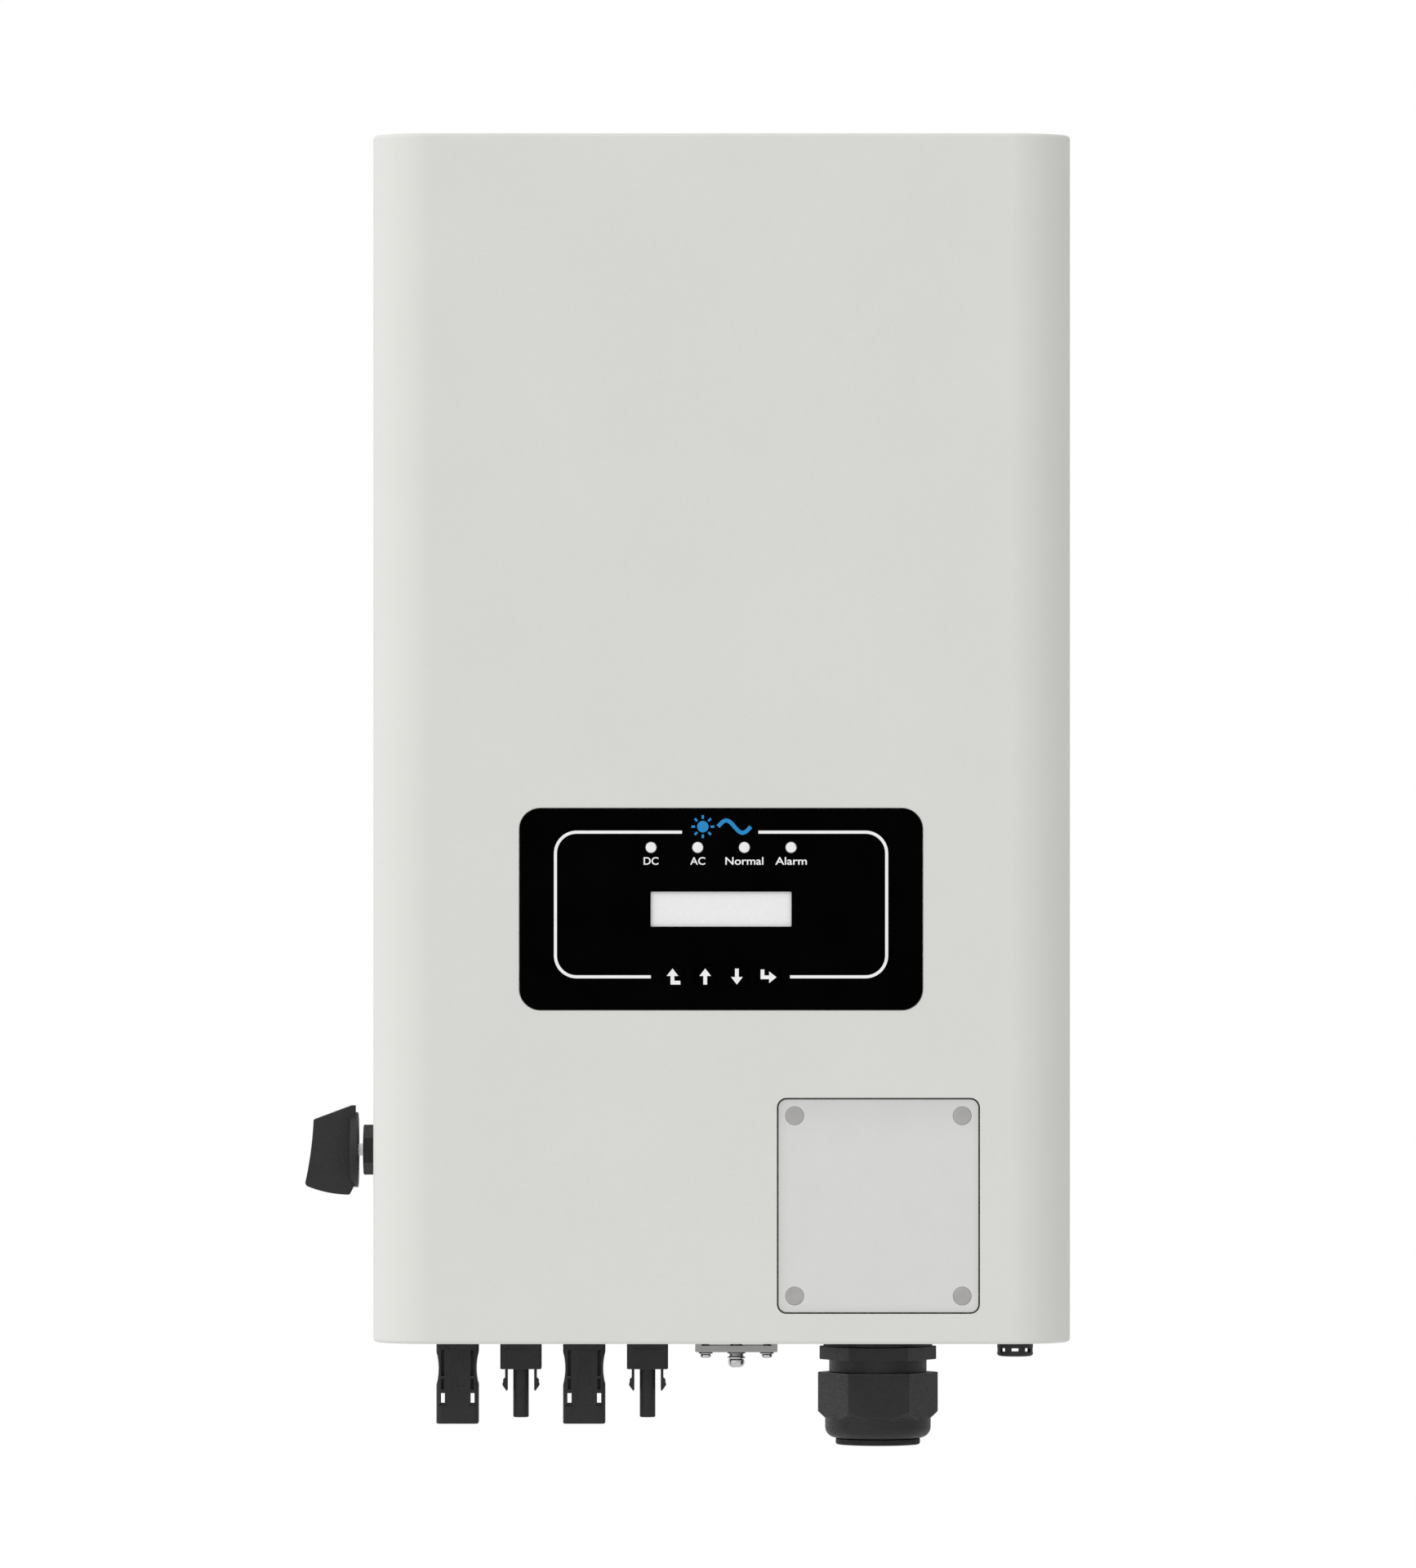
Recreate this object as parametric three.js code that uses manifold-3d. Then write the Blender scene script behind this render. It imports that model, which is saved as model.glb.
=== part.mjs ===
// A wall-hung string inverter: a painted housing on a finned heat sink, with a display panel, a screwed
// wiring cover, a DC switch on its left side, and PV sockets, earthing, cable gland and breather below.
//
// Millimetres, +Z up. The front faces -Y and +X is to the viewer's right. The origin lies on the wall:
// it is the point of the wall bracket's back face behind the middle of the body.

import * as THREE from "three";
import { mergeVertices } from "three/addons/utils/BufferGeometryUtils.js";
import Module from "manifold-3d";

const wasm = await Module();
wasm.setup();

// ---------------------------------------------------------------- driving dimensions

const BODY_WIDTH = 330;
const BODY_HEIGHT = 571;
const CORNER_RADIUS = 28; // the two vertical front corners
const EDGE_FILLET = 1.8; // top and bottom edges of the body
const FRONT_Y = -200; // front face of the cover
const SPLIT_Y = -140; // where the front cover meets the rear housing
const BACK_Y = -76; // back of the rear housing
const COVER_WALL = 2.5;
const HOUSING_WALL = 3;
const GAP = 0.3; // between pieces that touch

const FITTINGS_Y = -108; // one line for everything on the bottom and for the switch
const BOTTOM_Z = -BODY_HEIGHT / 2;

const DISPLAY = { x: -0.3, z: -80.4, width: 190, height: 95, radius: 9.8 };
const LCD_WINDOW = { width: 66.4, height: 16.5 };
const LED_PITCH = 22;
const LED_Z = 29.1; // above the display's middle
const LED_RADIUS = 2.6;
const KEY_PITCH = 14.93;
const KEY_Z = -31.8; // below the display's middle
const KEY_SIZE = 10.4;
const KEY_TRAVEL = 0.5;

const HATCH = { x: 73.9, z: -220.3, width: 95.8, height: 101.9, radius: 4.6 };
const HATCH_SEAM = 0.8;
const HATCH_SUNK = 1; // how far the wiring cover lies behind the front face
const HATCH_THICKNESS = 5;
const POCKET_DEPTH = 6.8; // from the wiring cover's face to the ledge under its gasket
const HATCH_SCREW = { x: 39.5, z: 42.5 }; // from the hatch's middle
const PLUG_RADIUS = 4.35;

const SWITCH_Z = -196.5;
const PV_FIRST_X = -126.3;
const PV_PITCH = 30.3;
const EARTH_X = 7.1;
const GLAND_X = 74.9;
const BREATHER_X = 140.6;

const SINK = { halfWidth: 138, bottom: -190, top: 262, base: 9.7, fins: 25, pitch: 11, tipY: -18 };
const SHEET = 2.5; // thickness of the bracket's and the hanger's steel
const LIFT = 22; // rise that frees the hanger from the bracket

const SMALL = 12; // sides of the smallest circles
const ROUND = 16; // sides of a middling circle
const FINE = 28; // sides of the larger circles

// ---------------------------------------------------------------- shapes and solids

const X = new THREE.Vector3(1, 0, 0);
const Y = new THREE.Vector3(0, 1, 0);
const Z = new THREE.Vector3(0, 0, 1);

// An outline drawn in (y, z), (x, z) or (x, y) is extruded along the remaining axis.
const EXTRUDE_FRAME = {
  x: new THREE.Matrix4().makeBasis(Y, Z, X),
  y: new THREE.Matrix4().makeBasis(X, Z, Y.clone().negate()),
  z: new THREE.Matrix4(),
};
// A profile of (radius, height) turns about its axis, with the heights measured along it.
const TURN_FRAME = {
  x: new THREE.Matrix4().makeBasis(Z, X, Y),
  y: new THREE.Matrix4(),
  z: new THREE.Matrix4().makeBasis(X, Z, Y.clone().negate()),
};

function solid(geometry) {
  geometry.deleteAttribute("normal");
  geometry.deleteAttribute("uv");
  const merged = mergeVertices(geometry, 1e-4);
  const mesh = new wasm.Mesh({
    numProp: 3,
    vertProperties: merged.attributes.position.array,
    triVerts: new Uint32Array(merged.index.array),
  });
  return new wasm.Manifold(mesh);
}

function geometryOf(manifold) {
  const mesh = manifold.getMesh();
  const geometry = new THREE.BufferGeometry();
  geometry.setAttribute("position", new THREE.BufferAttribute(new Float32Array(mesh.vertProperties), 3));
  geometry.setIndex(new THREE.BufferAttribute(new Uint32Array(mesh.triVerts), 1));
  geometry.computeVertexNormals();
  return geometry;
}

const join = (first, ...others) => others.reduce((sum, one) => sum.add(one), first);
const cut = (first, ...others) => others.reduce((rest, one) => rest.subtract(one), first);

function block(x0, x1, y0, y1, z0, z1) {
  const geometry = new THREE.BoxGeometry(x1 - x0, y1 - y0, z1 - z0);
  geometry.translate((x0 + x1) / 2, (y0 + y1) / 2, (z0 + z1) / 2);
  return solid(geometry);
}

function prism(outline, axis, low, high, { fillet = 0, arcSteps = 2 } = {}) {
  const geometry = new THREE.ExtrudeGeometry(outline, {
    depth: high - low - 2 * fillet,
    curveSegments: arcSteps,
    bevelEnabled: fillet > 0,
    bevelThickness: fillet,
    bevelSize: fillet,
    bevelOffset: -fillet,
    bevelSegments: 2,
  });
  geometry.applyMatrix4(EXTRUDE_FRAME[axis]);
  const start = axis === "y" ? -(high - fillet) : low + fillet;
  const along = { x: X, y: Y.clone().negate(), z: Z }[axis].clone().multiplyScalar(start);
  geometry.translate(along.x, along.y, along.z);
  return solid(geometry);
}

function turned(profile, axis, sides = ROUND) {
  const points = profile.map(([radius, height]) => new THREE.Vector2(radius, height));
  if (THREE.ShapeUtils.area(points) < 0) points.reverse();
  const onAxis = points[0].x === 0 && points[points.length - 1].x === 0;
  if (!onAxis) points.push(points[0].clone());
  const geometry = new THREE.LatheGeometry(points, sides);
  geometry.applyMatrix4(TURN_FRAME[axis]);
  return solid(geometry);
}

// A plain round bar along an axis, from low to high, centred at (a, b) in the other two axes.
function bar(radius, axis, low, high, a = 0, b = 0, sides = ROUND) {
  const rod = turned([[0, low], [radius, low], [radius, high], [0, high]], axis, sides);
  const shift = { x: [0, a, b], y: [a, 0, b], z: [a, b, 0] }[axis];
  return rod.translate(shift);
}

function roundedRect(width, height, radius, a = 0, b = 0) {
  const w = width / 2;
  const h = height / 2;
  const shape = new THREE.Shape();
  shape.absarc(a + w - radius, b + h - radius, radius, 0, Math.PI / 2, false);
  shape.absarc(a - w + radius, b + h - radius, radius, Math.PI / 2, Math.PI, false);
  shape.absarc(a - w + radius, b - h + radius, radius, Math.PI, 1.5 * Math.PI, false);
  shape.absarc(a + w - radius, b - h + radius, radius, 1.5 * Math.PI, 2 * Math.PI, false);
  shape.closePath();
  return shape;
}

function polygon(points) {
  return new THREE.Shape(points.map(([a, b]) => new THREE.Vector2(a, b)));
}

// A hexagon with two of its corners on the first axis.
function hexagon(acrossCorners) {
  const corner = (k) => [Math.cos((k * Math.PI) / 3), Math.sin((k * Math.PI) / 3)];
  return polygon([0, 1, 2, 3, 4, 5].map((k) => corner(k).map((c) => (c * acrossCorners) / 2)));
}

// Places spread evenly about zero.
const spread = (count, pitch) => Array.from({ length: count }, (_, k) => (k - (count - 1) / 2) * pitch);

function mesh(name, manifold, material, parent) {
  const piece = new THREE.Mesh(geometryOf(manifold), material);
  piece.name = name;
  parent.add(piece);
  return piece;
}

// ---------------------------------------------------------------- finishes

const finish = (color, roughness, metalness = 0) =>
  new THREE.MeshStandardMaterial({ color, roughness, metalness });
const bodyPaint = () => finish(0xd5d6d1, 0.55);
const hatchPaint = () => finish(0xd3d3d0, 0.5);
const greyPlastic = () => finish(0xa4a19e, 0.5);
const blackNylon = () => finish(0x323232, 0.55);
const blackRubber = () => finish(0x262626, 0.8);
const blackFilm = () => finish(0x050505, 0.25);
const screenGlass = () => finish(0xe8e8e8, 0.2);
const frostedPlastic = () => finish(0xe8e8e8, 0.35);
const circuitBoard = () => finish(0x1f5c33, 0.5);
const castAluminium = () => finish(0xb9bbbc, 0.4, 0.9);
const galvanised = () => finish(0xaeb1b3, 0.45, 0.9);
const brightSteel = () => finish(0xc4c6c8, 0.3, 1);
const blackSleeve = () => finish(0x1d1f24, 0.35);
const copperWinding = () => finish(0xa8623a, 0.4, 0.8);
const potting = () => finish(0x2a2a2c, 0.6);
const terminalGreen = () => finish(0x3f8f57, 0.5);

// ---------------------------------------------------------------- front cover and rear housing

// Plan of the body in (x, y): straight sides, a flat front and two round front corners.
function bodyPlan(inset, backY) {
  const side = BODY_WIDTH / 2 - inset;
  const front = FRONT_Y + inset;
  const radius = CORNER_RADIUS - inset;
  const plan = new THREE.Shape();
  plan.moveTo(side, backY);
  plan.lineTo(-side, backY);
  plan.absarc(-side + radius, front + radius, radius, Math.PI, 1.5 * Math.PI, false);
  plan.absarc(side - radius, front + radius, radius, 1.5 * Math.PI, 2 * Math.PI, false);
  plan.closePath();
  return plan;
}

const COVER_SCREW_Y = SPLIT_Y - 7;
const SIDE_SCREWS_Z = [-220, 0, 220];
const END_SCREWS_X = [-100, 100];

// Countersunk holes round the cover's rear edge: three in each side wall, two in the top and two below.
function countersinks() {
  const profile = [[0, 1], [4.1, 1], [4.1, 0], [2.3, -2], [2.3, -4], [0, -4]];
  const hole = (axis, side, surface) =>
    turned(profile.map(([radius, height]) => [radius, side * (surface + height)]), axis, SMALL);
  return [-1, 1].flatMap((side) => [
    ...SIDE_SCREWS_Z.map((z) => hole("x", side, BODY_WIDTH / 2).translate([0, COVER_SCREW_Y, z])),
    ...END_SCREWS_X.map((x) => hole("z", side, BODY_HEIGHT / 2).translate([x, COVER_SCREW_Y, 0])),
  ]);
}

function frontCover(parent) {
  const top = BODY_HEIGHT / 2;
  const far = SPLIT_Y + 40;
  const outer = prism(bodyPlan(0, far), "z", -top, top, { fillet: EDGE_FILLET, arcSteps: 4 });
  const innerTop = top - COVER_WALL;
  const inner = prism(bodyPlan(COVER_WALL, far + 1), "z", -innerTop, innerTop, { arcSteps: 3 });
  const shell = cut(outer, inner, block(-200, 200, SPLIT_Y, 0, -top - 1, top + 1));
  const inside = FRONT_Y + COVER_WALL;

  // A rib all round on the inside presses the gasket on to the housing's lip.
  const ribBack = SPLIT_Y - 15.6;
  const rib = cut(
    block(-163.5, 163.5, ribBack - 3, ribBack, -284, 284),
    block(-156.5, 156.5, ribBack - 4, ribBack + 1, -277, 277),
  );
  const bosses = [-58, 58].flatMap((x) =>
    [-36, 36].map((z) => bar(4, "y", inside - 0.5, inside + 9.6, DISPLAY.x + x, DISPLAY.z + z, SMALL)),
  );
  const frame = prism(roundedRect(113, 118, 7, HATCH.x, HATCH.z), "y", inside - 0.5, inside + 7.5);
  const screwPosts = hatchCorners().map(([x, z]) =>
    bar(4.5, "y", inside + 7, inside + 14, HATCH.x + x, HATCH.z + z, SMALL),
  );

  const recessWidth = DISPLAY.width + 2 * GAP;
  const recessHeight = DISPLAY.height + 2 * GAP;
  const recessPlan = roundedRect(recessWidth, recessHeight, DISPLAY.radius + GAP, DISPLAY.x, DISPLAY.z);
  const recess = prism(recessPlan, "y", FRONT_Y - 1, FRONT_Y + 0.9);
  const window = prism(roundedRect(86, 74, 4, DISPLAY.x, DISPLAY.z - 3), "y", FRONT_Y - 1, inside + 1);
  const pocketPlan = roundedRect(HATCH.width, HATCH.height, HATCH.radius, HATCH.x, HATCH.z);
  const pocket = prism(pocketPlan, "y", FRONT_Y - 1, FRONT_Y + HATCH_SUNK + POCKET_DEPTH);
  const access = prism(roundedRect(64, 70, 4, HATCH.x, HATCH.z), "y", FRONT_Y, inside + 10);
  const screwHoles = hatchCorners().map(([x, z]) =>
    bar(2.3, "y", FRONT_Y, inside + 13, HATCH.x + x, HATCH.z + z, SMALL),
  );

  const cover = join(shell, rib, frame, ...bosses, ...screwPosts);
  const finished = cut(cover, recess, window, pocket, access, ...screwHoles, ...countersinks());
  mesh("front_cover", finished, bodyPaint(), parent);
}

function rearHousing(parent) {
  const top = BODY_HEIGHT / 2;
  const half = BODY_WIDTH / 2;
  const lipFront = SPLIT_Y - 12;
  const plan = roundedRect(BODY_WIDTH, 160, 6, 0, BACK_Y - 80);
  const outer = prism(plan, "z", -top, top, { fillet: EDGE_FILLET });
  const body = cut(outer, block(-half - 1, half + 1, BACK_Y - 170, SPLIT_Y + GAP, -top - 1, top + 1));
  const lipInset = COVER_WALL + GAP;
  const slab = (inset, front, back) =>
    block(-half + inset, half - inset, front, back, -top + inset, top - inset);
  const lip = slab(lipInset, lipFront, SPLIT_Y + 5);
  const hollow = slab(HOUSING_WALL, SPLIT_Y + 5, BACK_Y - HOUSING_WALL);
  const mouth = slab(lipInset + HOUSING_WALL, lipFront - 1, SPLIT_Y + 6);
  const sinkWindow = block(-125, 125, BACK_Y - HOUSING_WALL - 1, BACK_Y + 1, -178, 250);

  const pillars = [-138, 138].flatMap((x) =>
    [-150, 246].map((z) => bar(4, "y", -101.8, BACK_Y - 1, x, z, SMALL)),
  );
  const glandPad = bar(26.4, "z", -top - 2, -top + 1, GLAND_X, FITTINGS_Y, FINE);
  const floor = (radius, x, sides = ROUND) => bar(radius, "z", -top - 5, -top + 7, x, FITTINGS_Y, sides);
  const holes = [
    ...pvPlaces().map((x) => floor(6.4, x)),
    floor(20.4, GLAND_X, FINE),
    floor(6.2, BREATHER_X),
    floor(3.2, EARTH_X, SMALL),
    floor(2.1, EARTH_X - 14.65, SMALL),
    floor(2.1, EARTH_X + 14.65, SMALL),
    bar(7.3, "x", -half - 1, -half + 8, FITTINGS_Y, SWITCH_Z),
  ];
  const shell = cut(join(body, lip), hollow, mouth, sinkWindow);
  const finished = cut(join(shell, ...pillars, glandPad), ...holes);
  mesh("rear_housing", finished, bodyPaint(), parent);
}

function housingGasket(parent) {
  const front = SPLIT_Y - 15.3;
  const ring = cut(
    block(-161.8, 161.8, front, front + 3, -282.3, 282.3),
    block(-158.8, 158.8, front - 1, front + 4, -279.3, 279.3),
  );
  mesh("housing_gasket", ring, blackRubber(), parent);
}

// ---------------------------------------------------------------- heat sink, hanger and wall bracket

const SINK_BASE_BACK = BACK_Y + GAP + SINK.base;
const hangerCorners = () => [-93.5, 93.5].flatMap((x) => [132, 178].map((z) => [x, z]));

function heatSink(parent) {
  const comb = new THREE.Shape();
  const baseFront = BACK_Y + GAP;
  comb.moveTo(-SINK.halfWidth, baseFront);
  comb.lineTo(SINK.halfWidth, baseFront);
  comb.lineTo(SINK.halfWidth, SINK_BASE_BACK);
  for (const x of spread(SINK.fins, SINK.pitch).reverse()) {
    comb.lineTo(x + 1.5, SINK_BASE_BACK);
    comb.lineTo(x + 1, SINK.tipY);
    comb.lineTo(x - 1, SINK.tipY);
    comb.lineTo(x - 1.5, SINK_BASE_BACK);
  }
  comb.lineTo(-SINK.halfWidth, SINK_BASE_BACK);
  comb.closePath();
  const fins = prism(comb, "z", SINK.bottom, SINK.top);
  const pads = hangerCorners().map(([x, z]) =>
    block(x - 5.5, x + 5.5, SINK_BASE_BACK - 1, SINK.tipY, z - 8, z + 8),
  );
  const holes = hangerCorners().map(([x, z]) => bar(2.5, "y", SINK.tipY - 20, SINK.tipY + 1, x, z, SMALL));
  mesh("heat_sink", cut(join(fins, ...pads), ...holes), castAluminium(), parent);
}

// The hanger lies on the fin tips. Its top edge folds back and down, and hooks behind the bracket's lips.
function hanger(parent) {
  const front = SINK.tipY + GAP;
  const plate = block(-110, 110, front, front + SHEET, 118, 192.5);
  const shelf = block(-100, 100, front, -4.5, 190, 192.5);
  const lip = block(-100, 100, -7, -4.5, 160.8, 192.5);
  const holes = hangerCorners().map(([x, z]) => bar(2.7, "y", front - 1, front + SHEET + 1, x, z, SMALL));
  mesh("hanger_plate", cut(join(plate, shelf, lip), ...holes), galvanised(), parent);
}

function hangerScrews(parent) {
  const back = SINK.tipY + GAP + SHEET;
  hangerCorners().forEach(([x, z], k) => {
    const profile = [[0, -12], [2.2, -12], [2.2, GAP], [4.6, GAP], [4.2, 1.9], [2.6, 2.5], [0, 2.5]];
    const screw = mesh(`hanger_screw_${k + 1}`, turned(profile, "y", SMALL), brightSteel(), parent);
    screw.position.set(x, back, z);
  });
}

function wallBracket(parent) {
  const plate = block(-100, 100, -SHEET, 0, -170, 175);
  const foot = block(-100, 100, SINK.tipY + GAP, -SHEET + 0.5, -170, -167.5);
  const flanges = [-100, 97.5].map((x) => block(x, x + SHEET, -9, -SHEET + 0.5, -150, 100));
  const hooks = [-60, 60].flatMap((x) => [
    block(x - 30, x + 30, -12, -SHEET + 0.5, 158, 160.5),
    block(x - 30, x + 30, -12, -9.5, 158, 160.5 + LIFT - 1),
  ]);
  const slots = [-75, 75].flatMap((x) =>
    [-135, 135].map((z) => prism(roundedRect(9, 16, 4.5, x, z), "y", -SHEET - 1, 1)),
  );
  mesh("wall_bracket", cut(join(plate, foot, ...flanges, ...hooks), ...slots), galvanised(), parent);
}

// ---------------------------------------------------------------- wiring cover

function hatchCorners() {
  return [[-1, 1], [1, 1], [-1, -1], [1, -1]].map(([a, b]) => [a * HATCH_SCREW.x, b * HATCH_SCREW.z]);
}

function wiringCover(parent) {
  const group = new THREE.Group();
  group.position.set(HATCH.x, FRONT_Y + HATCH_SUNK, HATCH.z);
  parent.add(group);

  const width = HATCH.width - 2 * HATCH_SEAM;
  const height = HATCH.height - 2 * HATCH_SEAM;
  const plate = prism(roundedRect(width, height, HATCH.radius - HATCH_SEAM), "y", 0, HATCH_THICKNESS);
  const lightening = prism(roundedRect(62, 66, 4), "y", 2.5, HATCH_THICKNESS + 1);
  const wells = hatchCorners().map(([x, z]) => bar(PLUG_RADIUS + GAP, "y", -1, 3.6, x, z, ROUND));
  const holes = hatchCorners().map(([x, z]) => bar(2.3, "y", 3, HATCH_THICKNESS + 1, x, z, SMALL));
  mesh("wiring_cover", cut(plate, lightening, ...wells, ...holes), hatchPaint(), group);

  const outline = roundedRect(73, 79, 5);
  outline.holes.push(roundedRect(66, 72, 4));
  mesh("wiring_cover_gasket", prism(outline, "y", 5.3, 6.5), blackRubber(), group);

  hatchCorners().forEach(([x, z], k) => {
    const profile = [[0, 1.7], [3.6, 1.7], [3.6, 3.3], [2, 3.3], [2, 14], [0, 14]];
    const screw = mesh(`wiring_cover_screw_${k + 1}`, turned(profile, "y", SMALL), brightSteel(), group);
    screw.position.set(x, 0, z);
    const cap = [[0, 0], [PLUG_RADIUS - 0.25, 0], [PLUG_RADIUS, 0.25], [PLUG_RADIUS, 1.4], [0, 1.4]];
    const plug = mesh(`screw_plug_${k + 1}`, turned(cap, "y", ROUND), greyPlastic(), group);
    plug.position.set(x, 0, z);
  });
}

// ---------------------------------------------------------------- display

const MEMBRANE = { front: -0.3, back: 0.6 };
const BOARD = { front: 12.4, back: 14 };

function membrane(group) {
  const sheet = roundedRect(DISPLAY.width, DISPLAY.height, DISPLAY.radius);
  sheet.holes.push(roundedRect(LCD_WINDOW.width, LCD_WINDOW.height, 0.4));
  const lamp = LED_RADIUS + GAP;
  const opening = KEY_SIZE + 2 * GAP;
  sheet.holes.push(...spread(4, LED_PITCH).map((x) => roundedRect(2 * lamp, 2 * lamp, lamp, x, LED_Z)));
  sheet.holes.push(...spread(4, KEY_PITCH).map((x) => roundedRect(opening, opening, 2.3, x, KEY_Z)));
  mesh("display_membrane", prism(sheet, "y", MEMBRANE.front, MEMBRANE.back), blackFilm(), group);
}

function keys(group) {
  ["escape", "up", "down", "enter"].forEach((name, k) => {
    const cap = prism(roundedRect(KEY_SIZE, KEY_SIZE, 2), "y", MEMBRANE.front, MEMBRANE.back + GAP + 0.2);
    const flange = prism(roundedRect(12.2, 12.2, 2), "y", MEMBRANE.back + GAP, MEMBRANE.back + GAP + 0.9);
    const stem = bar(2.2, "y", MEMBRANE.back + GAP, BOARD.front - 4.4 - KEY_TRAVEL, 0, 0, SMALL);
    const key = mesh(`key_${name}`, join(cap, flange, stem), blackFilm(), group);
    key.position.set(spread(4, KEY_PITCH)[k], 0, KEY_Z);
  });
}

function lightGuide(group) {
  const strip = block(-37, 37, 3, 5, LED_Z - 3, LED_Z + 3);
  const pips = spread(4, LED_PITCH).map((x) => bar(LED_RADIUS, "y", MEMBRANE.front, 4, x, LED_Z, SMALL));
  const tails = spread(4, LED_PITCH).map((x) => bar(1.8, "y", 4, BOARD.front - 1.9, x, LED_Z, SMALL));
  mesh("light_guide", join(strip, ...pips, ...tails), frostedPlastic(), group);
}

function displayBoard(group) {
  const slab = block(-63, 63, BOARD.front, BOARD.back, -41, 41);
  const domes = spread(4, KEY_PITCH).map((x) =>
    block(x - 3, x + 3, BOARD.front - 3.9, BOARD.front + 0.5, KEY_Z - 3, KEY_Z + 3),
  );
  const lamps = spread(4, LED_PITCH).map((x) =>
    block(x - 1.5, x + 1.5, BOARD.front - 1.4, BOARD.front + 0.5, LED_Z - 1, LED_Z + 1),
  );
  mesh("display_board", join(slab, ...domes, ...lamps), circuitBoard(), group);
}

function display(parent) {
  const group = new THREE.Group();
  group.position.set(DISPLAY.x, FRONT_Y, DISPLAY.z);
  parent.add(group);
  membrane(group);
  keys(group);
  lightGuide(group);
  displayBoard(group);
  mesh("lcd_module", block(-40, 40, MEMBRANE.back + GAP, BOARD.front - GAP, -18, 18), screenGlass(), group);
}

// ---------------------------------------------------------------- DC switch

// Side view of the handle in (x, z), with x measured out from the housing's left wall.
function handleOutline() {
  const outline = new THREE.Shape();
  outline.moveTo(-10.2, 21.2);
  outline.lineTo(-12.25, 21.2);
  outline.lineTo(-30.2, 14.5);
  outline.quadraticCurveTo(-30.8, -0.3, -34.2, -15.9);
  outline.lineTo(-33.5, -17.2);
  outline.quadraticCurveTo(-23.75, -21.3, -13, -21.4);
  outline.lineTo(-10.95, -17.4);
  outline.lineTo(-10.2, -17.4);
  outline.closePath();
  return outline;
}

function dcSwitch(parent) {
  const group = new THREE.Group();
  group.position.set(-BODY_WIDTH / 2, FITTINGS_Y, SWITCH_Z);
  parent.add(group);

  const disc = turned([[0, -8.8], [17.6, -8.8], [18.05, -9.2], [17.4, -12.6], [0, -12.6]], "x", FINE);
  const handle = prism(handleOutline(), "y", -6.5, 6.5, { arcSteps: 5 });
  const socket = bar(3.3, "x", -19, 0, 0, 0, ROUND);
  mesh("switch_knob", cut(join(disc, handle), socket), blackNylon(), group);

  mesh("switch_shaft", bar(3, "x", -18.7, 20, 0, 0, ROUND), brightSteel(), group);

  const hexPrism = prism(hexagon(24), "x", -6.4, -GAP);
  const crown = turned([[0, -6.8], [11.2, -6.4], [12.2, -5.9], [12.2, 0], [0, 0]], "x", FINE);
  const nut = cut(hexPrism.rotate([90, 0, 0]).intersect(crown), bar(7.3, "x", -8, 1));
  mesh("switch_lock_nut", nut, blackNylon(), group);

  const inside = HOUSING_WALL + GAP;
  const neck = bar(7, "x", -6, inside + 1);
  const housing = prism(roundedRect(42, 42, 3), "x", inside, 56);
  const terminals = spread(4, 9).map((z) => block(20, 50, -26, -20, z - 3, z + 3));
  const bore = bar(3.4, "x", -8, 21, 0, 0, ROUND);
  mesh("switch_body", cut(join(neck, housing, ...terminals), bore), blackNylon(), group);
}

// ---------------------------------------------------------------- PV connectors

const pvPlaces = () => [0, 1, 2, 3].map((k) => PV_FIRST_X + k * PV_PITCH);

// Flange and threaded neck that hold a connector in the housing's floor.
const pvSeat = () => [bar(12, "z", -3, -GAP, 0, 0, FINE), bar(6, "z", -2, 14)];

// The socket half: a waisted box with two grooves on its front and back, and latch windows right through.
function pvSocket() {
  const outline = roundedRect(20.2, 17, 2.4);
  const box = prism(outline, "z", -41.9, -2);
  const waists = [-1, 1].map((side) => bar(29.6, "y", -12, 12, side * 38.6, -15.5, 64));
  const grooves = [-1, 1].flatMap((side) =>
    [-1, 1].flatMap((face) =>
      [[-19, -8.5], [-25.5, -20.2]].map(([low, high]) => {
        const near = face < 0 ? -9 : 5.5;
        return block(side * 7.1 - 0.9, side * 7.1 + 0.9, near, near + 3.5, low, high);
      }),
    ),
  );
  const windows = [-1, 1].map((side) => block(side * 7.1 - 1.05, side * 7.1 + 1.05, -12, 12, -32.5, -27.2));
  const mouth = prism(roundedRect(16.8, 7, 1), "z", -44, -27);
  const bore = bar(4.7, "z", -44, -14, 0, 0, ROUND);
  const pin = bar(1.6, "z", -38, -13, 0, 0, SMALL);
  return join(cut(join(box, ...pvSeat()), ...waists, ...grooves, ...windows, mouth, bore), pin);
}

// The plug half: a short box, a central tube and two barbed latch arms.
function pvPlug() {
  const box = prism(roundedRect(19.7, 17, 1.6), "z", -15.8, -2);
  const tube = bar(3.75, "z", -39, -10, 0, 0, ROUND);
  const barb = [[-7.6, -20.1], [-8.5, -20.8], [-8.9, -23.6], [-6.8, -26.6], [-6.3, -25.7]];
  const arm = [[-6.3, -12], [-7.6, -12], ...barb];
  const arms = [1, -1].map((side) => prism(polygon(arm.map(([x, z]) => [side * x, z])), "y", -2.6, 2.6));
  const bore = bar(2.2, "z", -41, -20, 0, 0, SMALL);
  return cut(join(box, ...pvSeat(), tube, ...arms), bore);
}

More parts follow.
